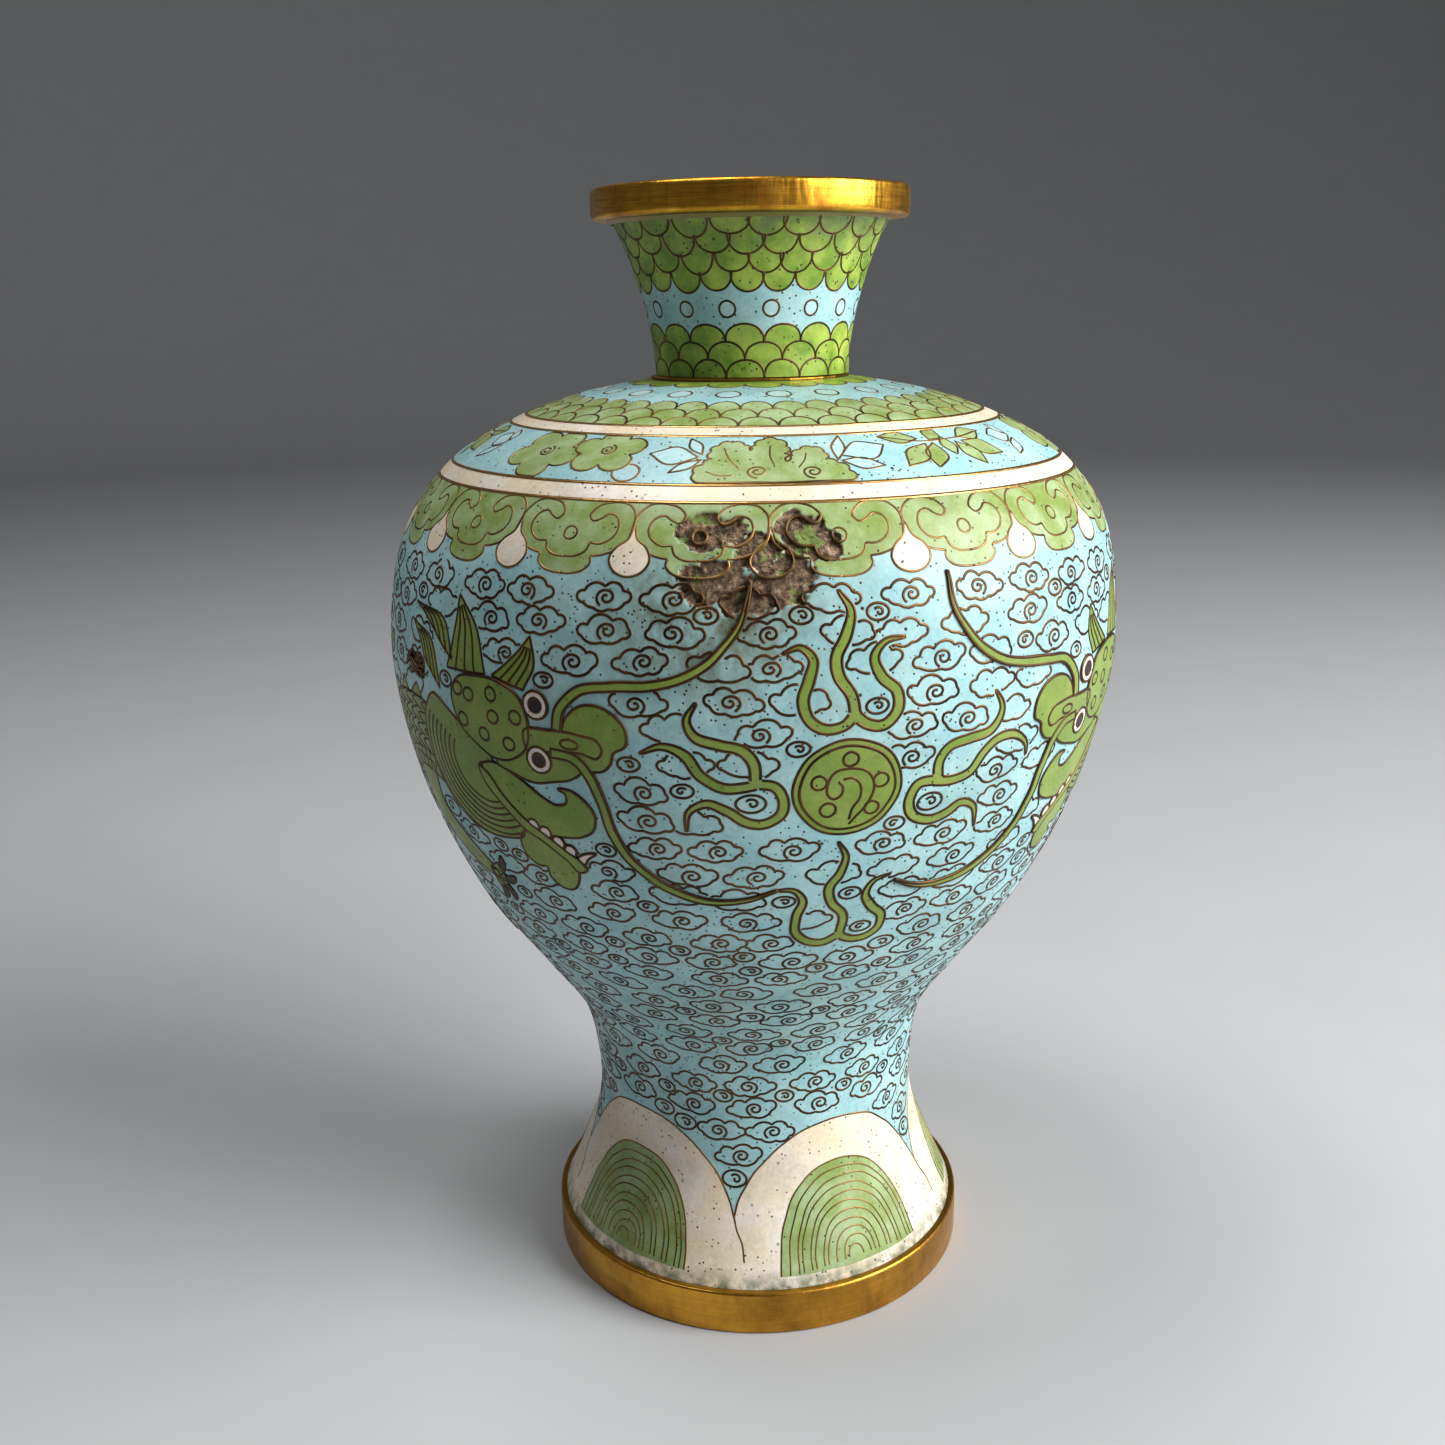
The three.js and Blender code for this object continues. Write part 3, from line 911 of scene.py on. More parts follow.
def border_wire(name, s, stands_for):
    """A wire that runs once round the body."""
    pen = Pen(BODY, BODY.radius(s), wander=0.0)
    theta = np.linspace(-math.pi, math.pi, 720, endpoint=False)
    points = np.stack([theta * pen.nominal, np.full(len(theta), s)], 1)
    mesh_points, faces = pen.wire_mesh(points, True, BORDER_WIDTH, 1)
    make_object(name, mesh_points, faces, BORDER_WIRE, stands_for, smooth=len(faces))


for band, (low, high) in (("lower_white", LOWER_WHITE), ("upper_white", UPPER_WHITE)):
    border_wire(f"{band}_border_below", low, [f"{band}_wire_lower"])
    border_wire(f"{band}_border_above", high, [f"{band}_wire_upper"])


# ---- scales, dots and borders ----
def scale_rows(pen, foot, rise, rows, count, filled_row, colour="neck_green", top_down=False, offset=0.0,
               uneven=0.0):
    """Rows of overlapping scales; a filled row stands over the ground colour."""
    pitch = TAU * pen.nominal / count
    way = -1 if top_down else 1
    for row in range(rows):
        base = foot + way * rise * row
        for i in range(count):
            centre = (i + 0.5 * (row % 2) + offset) * pitch - math.pi * pen.nominal
            centre += uneven * pitch * math.sin(5.1 * i + 2.3 * row + offset)
            tall = rise * (1.06 + uneven * math.sin(3.7 * i - 1.9 * row))
            angle = np.linspace(math.pi, 0, 15)
            arch = np.stack([centre + pitch / 2 * np.cos(angle),
                             base + way * (tall * np.sin(angle) ** 0.8 - 0.06 * rise)], 1)
            if row == filled_row:
                root = base - 0.6 * way
                pen.cell(colour, np.vstack([arch, [(arch[-1][0], root), (arch[0][0], root)]]))
            pen.wire(arch)


def dot_row(pen, s, radius, count, offset):
    """A row of small pale rings, not quite evenly set."""
    pitch = TAU * pen.nominal / count
    across = pen.nominal / pen.wall.radius(s)
    for i in range(count):
        jitter = 0.25 * math.sin(7.3 * i)
        angle = np.linspace(0, TAU, 20, endpoint=False)
        centre = (i + offset) * pitch - math.pi * pen.nominal + jitter
        outline = np.stack([centre + radius * across * np.cos(angle), s + radius * np.sin(angle)], 1)
        pen.shape("pale", outline)


SHOULDER_PEN = Pen(BODY, 45.0, 0.9, width=FINE_WIRE, gilded=True)
scale_rows(SHOULDER_PEN, filled_row=2, colour="shoulder_green", offset=0.1, **SHOULDER_SCALES)
dot_row(SHOULDER_PEN, 193.0, 2.0, 20, 0.52)
scale_rows(SHOULDER_PEN, COLLAR_GREEN + 0.6, 2.6, rows=1, count=20, filled_row=0, top_down=True,
           offset=0.3)

NECK_PEN = Pen(NECK, 19.0, 0.7, width=FINE_WIRE)
scale_rows(NECK_PEN, filled_row=2, offset=0.32, **NECK_LOWER_SCALES)
dot_row(NECK_PEN, 11.4, 1.35, 16, 0.43)
for row in range(4):
    scale_rows(NECK_PEN, NECK_UPPER_FOOT + NECK_UPPER_RISE * (row + 1), NECK_UPPER_RISE, rows=1,
               count=NECK_UPPER_COUNT, filled_row=0 if row == 0 else None, top_down=True,
               offset=0.4 + 0.5 * (row % 2), uneven=0.05 if row == 0 else 0.09)


# ---- ruyi band ----
RUYI_COUNT = 18
RUYI_PITCH, RUYI_UNEVEN = 20.0, 1.6    # degrees from head to head, and how far that varies
RUYI_START = 0.137                     # radians from the front to the first head, to the left
RUYI_TOP = 156.5                       # of the green head cell, under its wires
RUYI_EYE = 153.8
DROP_OFFSET = 10.1                     # from a head to the cream drop on its right
RUYI_LOWER = [(-9.7, 154.6), (-9.2, 152.8), (-7.6, 151.3), (-5.6, 150.5), (-4.1, 150.3)]
RUYI_CHIN = [(-4.1, 150.3), (-4.3, 149.3), (-3.4, 148.1), (-1.7, 147.5), (0, 147.4)]
RUYI_ARM = [(-9.7, 154.5), (-9.7, 157), (-8.2, 158.9), (-5.7, 159.3), (-3.3, 158.5), (-2.3, 156.9),
            (-3.1, 155.9), (-4.4, 156.4), (-5.4, 157.2), (-6.8, 156.8), (-7.5, 155), (-6.8, 153.2),
            (-5.2, 152.2), (-3.7, 152.3)]
RUYI_LIP = [(-3.7, 152.3), (-3.2, 151), (-1.8, 150.1), (0, 149.9)]
DROP = [(0, 155.2), (-0.7, 153.2), (-2.2, 151.8), (-2.9, 150), (-2.1, 148.2), (0, 147.4)]


def both_sides(points):
    """A half outline and its mirror image as one line."""
    p = np.array(points, float)
    return np.vstack([p, (p * (-1, 1))[::-1][1:]])


RUYI_PEN = Pen(BODY, 58.0, 0.8, width=FINE_WIRE, gilded=True)
for i in range(RUYI_COUNT):
    turn = math.radians(RUYI_PITCH * i - RUYI_UNEVEN * math.sin(math.radians(RUYI_PITCH * i)))
    centre = RUYI_PEN.nominal * (turn - RUYI_START)
    if i > RUYI_COUNT / 2:
        centre -= TAU * RUYI_PEN.nominal
    lower = curve(both_sides(RUYI_LOWER + RUYI_CHIN[1:]))
    head = np.vstack([lower, [(9.8, RUYI_TOP), (-9.8, RUYI_TOP)]])
    RUYI_PEN.cell("shoulder_green", moved(head, (centre, 0)))
    for line in (RUYI_LOWER, RUYI_CHIN, RUYI_ARM, RUYI_LIP):
        half = curve(line)
        RUYI_PEN.wire(moved(half, (centre, 0)))
        RUYI_PEN.wire(moved(half, (centre, 0), flip=True))
    RUYI_PEN.wire(circle((centre, RUYI_EYE), 1.1), closed=True)
    drop = moved(both_sides(DROP), (centre + DROP_OFFSET, 0))[:-1]
    RUYI_PEN.shape("cream", curve(drop, closed=True), 1)


# ---- pearl and flames ----
FIELD_PEN = Pen(BODY, 62.0)
PEARL = (14.0, 115.0)
PEARL_RADII = (8.1, 7.1)
PEARL_SPOTS = [(14, 120), (9.6, 116.3), (18.8, 116.1), (11.2, 111.5), (17.8, 111.4)]
MIRROR = 2 * PEARL[0]
taken = []                             # outlines that the clouds keep clear of


def mirrored(points):
    """The same outline on the other side of the pearl."""
    return np.array(points, float) * (-1, 1) + (MIRROR, 0)


def motif(colour, outline, level=0):
    """A cell of the big design; the cloud ground keeps clear of it."""
    FIELD_PEN.shape(colour, outline, level)
    taken.append(resample(outline, 0.5, closed=True))


def motif_merged(colour, outlines, level=0):
    """Straps of the big design that grow out of one another."""
    FIELD_PEN.merged(colour, outlines, level)
    taken.extend(resample(outline, 0.5, closed=True) for outline in outlines)


for level, radius in enumerate(PEARL_RADII):
    motif("green", circle(PEARL, radius, steps=60), level)
for spot in PEARL_SPOTS:
    FIELD_PEN.wire(circle(spot, 1.15), closed=True, level=1)
FIELD_PEN.wire(curve([(12.5, 116.3), (13.2, 115.2), (12.9, 113.9), (11.9, 113.3), (11, 114), (10.9, 116),
                      (12, 118), (14.3, 118.4), (16.8, 117.4), (17.9, 114.8), (17, 112), (15.6, 110.2),
                      (14.6, 108.7)]), level=1)
FIELD_PEN.wire(curve([(13.2, 116.6), (14.6, 116.7), (15.8, 115.4), (15.9, 113.4), (14.8, 111.6),
                      (14.5, 109.6)]), level=1)

FLAME_WIDTH = 1.5
FLAMES = [
    # above
    [[(4, 136.5), (6.5, 137.3), (8.3, 135.5), (7.7, 132.5), (7, 129.5), (8, 126.3), (10.5, 124.9),
      (13, 125.4), (14.2, 127)],
     [(11.7, 145.5), (13.5, 142.5), (13, 139), (11.5, 135.8), (12, 132.7), (13.8, 129.8), (14.3, 126.6)],
     [(21.5, 138), (18.5, 137.5), (17, 135.3), (18, 132.5), (20.3, 130), (20.5, 127), (18.5, 125),
      (16, 125.4), (14.2, 127)]],
    # below
    [[(4, 96.5), (7, 96.3), (8.5, 94), (7.8, 90.5), (7.8, 87), (10, 84.6), (13, 84), (16, 85.6)],
     [(13.2, 105.5), (14.8, 102.5), (14.3, 99.5), (12.8, 96.5), (13.5, 93.3), (15.8, 90.3),
      (16.1, 85.6)],
     [(23, 98), (20.3, 97), (19.2, 94.3), (20.8, 91.5), (23.3, 89), (23.3, 86), (21, 84.1), (18, 84.3),
      (16, 85.6)]],
    # left
    [[(-7.8, 129.3), (-9, 126.5), (-8, 124), (-4.5, 122.8), (-1.5, 122), (0.3, 119.8), (0.6, 116.6)],
     [(-16, 121), (-12.5, 122.3), (-9.5, 121), (-7, 117.5), (-4, 115.7), (-1, 115.9), (1.4, 116.5)],
     [(-9.7, 108), (-9, 111.5), (-6.5, 113), (-3.5, 111.7), (-0.8, 109.8), (2, 109.5), (4.2, 111),
      (4.6, 113.6), (3.4, 115.8), (0.8, 116.4)]],
    # right
    [[(37, 128), (38.5, 125), (37, 121.8), (33, 120.9), (29.5, 120), (28, 117.8), (28.2, 114.6)],
     [(45.5, 115.5), (45, 117.5), (42, 119.8), (38.5, 119.8), (36, 118), (34, 115), (31, 114.2),
      (27.6, 114.6)],
     [(37.3, 104.5), (36, 108.5), (33.5, 109.8), (31, 108.4), (28, 107.6), (25, 108.8), (23.8, 111.8),
      (25, 114.4), (28, 114.8)]],
]
for arms in FLAMES:
    motif_merged("green", [strap(arm, FLAME_WIDTH) for arm in arms])


# ---- dragons ----
# Drawn once, facing the pearl from the left; the other is its mirror image.
CRANIUM = [(-49.8, 127), (-48, 129.2), (-44, 129.9), (-39.5, 129.7), (-35.8, 128.2), (-34, 125),
           (-33.8, 121.5), (-35.2, 118.8), (-38, 117), (-41.5, 116.8), (-45, 118.4), (-48.7, 121.5)]
HEAD_SPOTS = [(-48.3, 127.2), (-45.7, 126.6), (-40.7, 127.5), (-40.6, 123.8), (-36, 124.4),
              (-42.9, 120.5), (-37.8, 119.8), (-47.6, 122.2)]
EYES = [(-32.2, 127.0), (-32.4, 118.0)]
SNOUT = [(-27, 125.5), (-25.2, 127.4), (-22.5, 127.9), (-19.7, 126.9), (-17.9, 124.6), (-18.1, 121.8),
         (-19.8, 120.6), (-20.3, 119), (-21.6, 117.6), (-23.8, 117.2), (-26.6, 118.2), (-28, 121.5)]
NOSTRIL = (-26.8, 121.4)
NOSE = [(-34.6, 122.6), (-30, 123.2), (-25, 123.1), (-22.2, 122.4), (-21.5, 120.8), (-22.4, 119.5),
        (-25, 120.1), (-29, 119.9), (-34.4, 119.3)]
CHEEK = [(-33.5, 120.5), (-29.5, 119.6), (-26.5, 118.4), (-25.3, 116.8), (-26.8, 115.5), (-30.5, 114.4),
         (-33.5, 113.8), (-37.5, 114.6), (-41, 116), (-40, 119)]
JAW_CORNER = (-45.2, 114.6)
JAW_RINGS = [6.6 + 1.2 * k for k in range(7)]
JAW = [(-56, 124.8), (-50.5, 122.2), (-46.3, 119.2), (-43, 117.2), (-42, 115.8), (-45.6, 114.8),
       (-45.2, 112), (-42.5, 108.8), (-38.8, 105.2), (-38.6, 103.4), (-43.5, 101.4), (-49.5, 101.2),
       (-54.5, 103), (-58.5, 107.4), (-60.5, 113), (-60, 120)]
TONGUE = [(-44.8, 115), (-42.5, 115.8), (-39.5, 115), (-36, 113.3), (-33, 111.2), (-30.4, 110.3),
          (-28.6, 111.1), (-28.6, 112.6), (-29.9, 113.2), (-27.6, 113.3), (-25.3, 111.6), (-24, 109),
          (-24.6, 106.6), (-27, 105), (-30.5, 104.3), (-35, 104.3), (-38.5, 106.5), (-42, 110.6)]
JAW_BAND = [(-45.6, 114.6), (-45.2, 112), (-42.5, 108.8), (-38.6, 104.8), (-34, 102.1), (-30.8, 99.6),
            (-29, 97.6), (-27.4, 98.4), (-28, 99.6), (-30.8, 101.8), (-34.6, 104.4), (-38, 106.6),
            (-42, 110.9), (-44, 113.6)]
TEETH = [(-36.0, 105.7), (-33.8, 104.7), (-31.6, 103.2), (-29.6, 101.9)]
TOOTH = [(-1.0, -0.8), (-0.9, 0.6), (0, 1.0), (0.9, 0.5), (0.9, -0.9)]
TUSK = [(-29.2, 99.6), (-27.8, 101.2), (-25, 101.9), (-26.4, 100.8), (-28.2, 99)]
CHIN = [(-38.6, 103.8), (-40.1, 101.4), (-39.6, 98.6), (-37.4, 97.2), (-35.9, 97.4), (-35.7, 95),
        (-33.6, 93.3), (-31.2, 93.6), (-29.6, 95.8), (-29.4, 98.6), (-32, 101.2), (-35.2, 103.4)]
HORNS = [  # tip, then the two ends of the base
    [(-49, 142), (-51.2, 130), (-42, 130.4), (-45, 138.5)],
    [(-33.4, 137.4), (-40.6, 130.4), (-34.4, 129), (-32.6, 133)],
    [(-62.5, 139), (-56.5, 136.2), (-50, 131.4), (-52, 137)],
    [(-63, 136), (-58.5, 130.5), (-53.5, 126), (-56, 133.5)],
]
SPINE = [(-55, 114), (-64, 116), (-73, 114.5), (-81, 108), (-87, 98.5), (-95, 90), (-105, 87.5),
         (-114, 92.5), (-120, 103), (-124, 115), (-131, 125), (-141, 128.5), (-151, 124.5), (-157, 115),
         (-160.5, 104), (-166, 96), (-173, 93)]
BODY_WIDTH = 14.0
BELLY_LINE = 0.45                      # how far towards the belly's edge its banding starts
SCALE_FIRST, SCALE_ROW = -0.86, 0.36   # the first row of scales and the rows' width, over half the body
BELLY_BAND, SCALE_PITCH, FIN_PITCH = 5, 6, 9  # in points along the spine
FIN_HEIGHT = 2.6
LEGS = [  # shoulder to foot
    [(-66, 111), (-66, 101), (-60, 95.5), (-52.5, 91.5)],
    [(-92, 95), (-83, 90), (-79, 81), (-72, 76.5)],
    [(-122, 108), (-132, 106), (-138, 98), (-135, 89)],
    [(-136, 127), (-128, 133), (-118, 133), (-110, 128)],
]
TAIL_FLAMES = [[(-181, 101.5), (-177, 97.5), (-171, 94.5)], [(-184, 93), (-178, 92.2), (-171, 93.2)],
               [(-181, 84.5), (-177.5, 89), (-171, 92)]]
BODY_WISPS = [
    [(-75, 131.5), (-80, 128), (-82, 121), (-79, 114)],
    [(-99, 103), (-94, 101.5), (-91, 97), (-91.5, 92)],
    [(-106, 76), (-108, 80), (-106, 84), (-102, 88)],
    [(-104, 108), (-108, 107), (-112, 103), (-115, 97)],
    [(-132, 113), (-129, 115), (-126, 118), (-124, 122)],
    [(-150, 138.5), (-147, 136.5), (-145, 133), (-144, 128)],
    [(-170, 116), (-166, 117), (-162, 115), (-158, 111)],
    [(-146, 112), (-150, 110), (-154, 110), (-157, 113)],
]
UPPER_WHISKER = [(-0.7, 147.2), (-1.5, 142), (-4, 137.5), (-8, 133.7), (-14, 131.6), (-20, 131),
                 (-25, 130), (-27.9, 127), (-28.8, 123.4)]
LOWER_WHISKER = [(4.2, 96.6), (0, 94.8), (-5, 94.1), (-10, 95), (-15, 97.7), (-19, 101.7),
                 (-21.5, 107), (-22.6, 112.4), (-24, 116.4), (-26.6, 119.2), (-30, 119.6)]


def dragon(side):
    """One dragon of the pair; side turns its outlines to its own half of the vase."""
    def put(colour, outline, level):
        motif(colour, side(curve(outline, closed=True)), level)

    for wisp in BODY_WISPS + TAIL_FLAMES:
        motif("green", side(strap(wisp, 2.6)))
    for leg in LEGS[1:]:
        dragon_leg(leg, side)
    dragon_body(side)
    dragon_leg(LEGS[0], side)
    for horn in HORNS:
        dragon_horn(horn, side)
    put("green", JAW, 2)
    for radius in JAW_RINGS:
        angle = np.radians(np.linspace(150, 300, 30))
        ring = np.stack([JAW_CORNER[0] + radius * np.cos(angle) * 1.06,
                         JAW_CORNER[1] + radius * np.sin(angle)], 1)
        keep = ring[inside(ring, curve(JAW, closed=True))]
        if len(keep) > 4:
            FIELD_PEN.wire(side(keep), level=2)
    put("green", CHIN, 2)
    put("green", TONGUE, 3)
    for tooth in TEETH:
        put("white", moved(TOOTH, tooth, turn=-0.5), 4)
    put("white", TUSK, 3)
    put("green", JAW_BAND, 5)
    put("green", CHEEK, 4)
    put("green", SNOUT, 4)
    put("green", NOSE, 5)
    put("green", CRANIUM, 5)
    for spot in HEAD_SPOTS:
        FIELD_PEN.wire(side(circle(spot, 1.1)), closed=True, level=5)
    FIELD_PEN.wire(side(circle(NOSTRIL, 1.5, squash=0.5)), closed=True, level=5)
    for eye in EYES:
        motif("white", side(circle(eye, 2.15)), 6)
        motif("dark", side(circle(eye, 1.1)), 7)
    motif("green", side(strap(UPPER_WHISKER, 1.0, root=1.5)), 6)
    motif("green", side(strap(LOWER_WHISKER, 1.3, root=1.1)), 6)


def dragon_body(side):
    """The coiling body: a scaled back, a banded belly and a row of fins."""
    spine = curve(SPINE, step=0.5)
    left = leftward(spine)
    along = np.linspace(0, 1, len(spine))
    last = len(spine) - 1
    half = (BODY_WIDTH / 2 * (1 - 0.75 * along**1.8))[:, None]
    right_edge, left_edge = spine - left * half, spine + left * half
    motif("green", side(np.vstack([left_edge, right_edge[::-1]])), 1)
    belly = spine + left * half * BELLY_LINE
    FIELD_PEN.wire(side(belly), level=1)
    for k in range(4, len(spine) - 4, BELLY_BAND):
        FIELD_PEN.wire(side(np.stack([belly[k], left_edge[min(k + 2, last)]])), level=1)
    for row in range(4):
        for k in range(3 + 3 * (row % 2), len(spine) - 8, SCALE_PITCH):
            points = []
            for t in np.linspace(0, 1, 9):
                place = min(k + int(round(5.5 * math.sin(math.pi * t))), last)
                across = max(SCALE_FIRST + SCALE_ROW * row - SCALE_ROW / 2 + SCALE_ROW * t, -0.98)
                points.append(spine[place] + left[place] * half[place] * across)
            FIELD_PEN.wire(side(np.array(points)), level=1)
    for k in range(14, len(spine) - 12, FIN_PITCH):
        peak = right_edge[k + 3] - left[k] * FIN_HEIGHT * (1 - 0.6 * along[k])
        motif("green", side(np.array([right_edge[k], peak, right_edge[k + 7]])))


def dragon_leg(path, side):
    """A leg with a frill at the elbow and four dark talons."""
    motif("green", side(strap(path[::-1], 5.4, tip=0.6, root=1.5)), 1)
    foot = np.array(path[-1], float)
    way = foot - np.array(path[-2], float)
    for spread in (-0.95, -0.35, 0.3, 1.0):
        angle = math.atan2(way[1], way[0]) + spread
        reach = np.array([math.cos(angle), math.sin(angle)])
        hook = np.array([-reach[1], reach[0]]) * (0.9 if spread > 0 else -0.9)
        tip = foot + reach * 6.2 + hook
        toe = [foot + reach * 4.2, foot + reach * 2.2, foot - reach * 0.5]
        talon = [tip + hook, foot + reach * 4.6 + hook * 0.3, foot + reach * 3.2]
        motif("green", side(strap(toe, 2.2, 0.6)), 2)
        motif("dark", side(strap(talon, 1.4)), 3)
    elbow = np.array(path[1], float)
    back = elbow - np.array(path[2], float)
    back /= np.hypot(*back)
    for spread in (-0.5, 0.1, 0.7):
        angle = math.atan2(back[1], back[0]) + spread
        tip = elbow + np.array([math.cos(angle), math.sin(angle)]) * 8
        motif("green", side(strap([tip, (tip + elbow) / 2 + (0.8, 0.6), elbow], 2.4)))


def dragon_horn(horn, side):
    """A tuft of the mane: a leaf with wires that run to its tip."""
    tip, base_a, base_b, bulge = (np.array(p, float) for p in horn)
    edge_a = curve([tip, (tip + base_a) / 2 + (bulge - tip) * 0.12, base_a])
    edge_b = curve([tip, bulge, base_b])
    motif("green", side(np.vstack([edge_a, edge_b[::-1]])))
    edge_a, edge_b = resample(edge_a, 0.5), resample(edge_b, 0.5)
    count = min(len(edge_a), len(edge_b))
    a = edge_a[np.linspace(0, len(edge_a) - 1, count).astype(int)]
    b = edge_b[np.linspace(0, len(edge_b) - 1, count).astype(int)]
    for share in (0.25, 0.5, 0.75):
        FIELD_PEN.wire(side((a * (1 - share) + b * share)[4:]))


dragon(lambda points: np.array(points, float))
dragon(mirrored)


# ---- lappets round the foot ----
FOOT_PEN = Pen(BODY, 34.0, 0.8, width=FINE_WIRE, gilded=True)
LAPPETS = 5
LAPPET_FIRST = 17.1                    # distance to the lappet right of the front
LAPPET_PITCH = TAU * FOOT_PEN.nominal / LAPPETS
LAPPET_EDGE = LAPPET_PITCH / 2
LAPPET_ARCH = [(-LAPPET_EDGE, 12.8), (-LAPPET_EDGE + 0.9, 16), (-LAPPET_EDGE + 3.4, 20.5),
               (-13.6, 25), (-8.0, 28.7), (0, 30.1)]
LAPPET_SEAM = [(-LAPPET_EDGE, 13.0), (-LAPPET_EDGE + 0.5, 11), (-LAPPET_EDGE + 1.7, 8),
               (-LAPPET_EDGE + 2.0, 4.8)]
LEAF_EDGE = [(-13.2, 2.2), (-13, 7), (-11.9, 12.5), (-9.2, 17.6), (-5, 20.8), (0, 21.7)]
LEAF_RIBS = 10                         # wires inside the leaf, each a smaller copy of its edge
LEAF_RIB_SHRINK = 1 / 11.2
LEAF_ROOT = 3.6                        # height that the ribs shrink towards
LEAF_WIRE = 0.34
for i in range(LAPPETS):
    centre = LAPPET_FIRST + (i - 2) * LAPPET_PITCH
    arch = curve(both_sides(LAPPET_ARCH))
    lappet = np.vstack([arch, [(LAPPET_EDGE + 0.05, 0.05), (-LAPPET_EDGE - 0.05, 0.05)]])
    FOOT_PEN.cell("cream", moved(lappet, (centre, 0)))
    FOOT_PEN.wire(moved(arch, (centre, 0)))
    FOOT_PEN.wire(moved(curve(LAPPET_SEAM), (centre, 0)))
    leaf = curve(both_sides(LEAF_EDGE))
    FOOT_PEN.cell("shoulder_green", moved(leaf, (centre, 0)), 1)
    FOOT_PEN.wire(moved(leaf, (centre, 0)), level=1, width=LEAF_WIRE)
    for k in range(1, LEAF_RIBS + 1):
        share = 1 - k * LEAF_RIB_SHRINK
        rib = np.array(LEAF_EDGE, float) * share + (0, LEAF_ROOT * (1 - share))
        sway = 0.3 * k % 0.7
        FOOT_PEN.wire(moved(curve(both_sides(rib)), (centre + sway, 0)), level=1, width=LEAF_WIRE)
    taken.append(moved(lappet, (centre, 0)) * (FIELD_PEN.nominal / FOOT_PEN.nominal, 1))


# ---- flowers round the shoulder ----
FLOWER_PEN = Pen(BODY, 45.0, 0.8, width=FINE_WIRE, gilded=True)
FLOWER_GROUPS = 3
FLOWER_PITCH = TAU * FLOWER_PEN.nominal / FLOWER_GROUPS
BAND_MARGIN = 0.45                     # between the flowers and the white bands


def flower_shape(colour, outline, centre, level=0):
    """A cell of the flower band, held inside its borders."""
    outline = np.array(outline, float)
    outline[:, 1] = np.clip(outline[:, 1], LOWER_WHITE[1] + BAND_MARGIN, UPPER_WHITE[0] - BAND_MARGIN)
    FLOWER_PEN.shape(colour, moved(outline, (centre, 0)), level)


def plum(centre, u, s, radius, turn=0.0, level=0):
    """A five-petalled blossom round a coil."""
    notch = [(u + radius * 0.62 * math.cos(turn + TAU * k / 5) * 1.1,
              s + radius * 0.62 * math.sin(turn + TAU * k / 5)) for k in range(5)]
    flower_shape("shoulder_green", lobes(notch[::-1], [0.62] * 5), centre, level)
    FLOWER_PEN.wire(moved(spiral((u, s), 1.45, 0.3, 1.8, 80), (centre, 0)), level=level)


def leaf_outline(base, tip, width):
    """A pointed leaf between two places."""
    base, tip = np.array(base, float), np.array(tip, float)
    way = tip - base
    side = np.array([-way[1], way[0]]) / np.hypot(*way) * width / 2
    middle = (base + tip) / 2
    return np.vstack([curve([base, middle + side, tip]), curve([tip, middle - side, base])[1:-1]])


def leaves(colour, places, centre):
    """Leaves from (base, tip, width)."""
    for base, tip, width in places:
        flower_shape(colour, leaf_outline(base, tip, width), centre)


PEONY = [(-6.8, 163.3), (-8.0, 165.2), (-7.0, 167.2), (-5.9, 168.6), (-6.2, 170.6), (-5.4, 172.4),
         (-3.4, 173.3), (-1.6, 172.4), (-0.7, 170.8), (0.2, 172.2), (1.2, 173.9), (3.3, 173.9),
         (4.4, 172.1), (4.0, 170.0), (4.2, 167.8), (5.1, 169.3), (6.3, 170.9), (8.2, 171.5),
         (9.6, 170.0), (9.3, 168.2), (10.9, 167.2), (12.0, 165.4), (12.2, 163.3)]
PEONY_FOLDS = [[(-4.6, 171.6), (-3.6, 168.6), (-2.2, 166.4)], [(2.2, 172.2), (2.0, 169.2), (2.4, 166.6)],
               [(7.0, 170.0), (6.6, 168.2), (5.6, 166.4)], [(-6.6, 165.6), (-4.8, 164.8), (-3.0, 164.9)]]
PEONY_LEFT = [((-8, 169.3), (-15.3, 170), 4.6), ((-7.5, 170), (-10, 174.4), 1.9),
              ((-7.5, 168.6), (-11.5, 165.4), 1.7)]
PEONY_RIGHT = [((11.2, 168), (13, 174.6), 1.9), ((12, 169.2), (19.4, 171.4), 5.0),
               ((11.6, 167.8), (17.6, 166.2), 2.6)]
SPRAY = [((26, 172.6), (19.4, 173.8), 3.4), ((26.5, 171), (20.8, 165.6), 3.6),
         ((28, 171), (25.4, 164.8), 3.4), ((28, 172), (31, 174.8), 3.2),
         ((34, 172.2), (40.8, 173.2), 3.6), ((34, 171), (39.8, 166.6), 4.4),
         ((32.6, 171), (34.2, 164.6), 3.2), ((30.8, 172.6), (30.2, 167.4), 2.6)]
STEM = [(20, 173.6), (26, 171.8), (33, 171.9), (40, 173)]
LAST_LEAVES = [((47.5, 170.4), (42, 171.6), 4.2), ((47.8, 171), (46, 174.4), 1.8),
               ((47.6, 169.6), (43.6, 165.6), 2.0)]
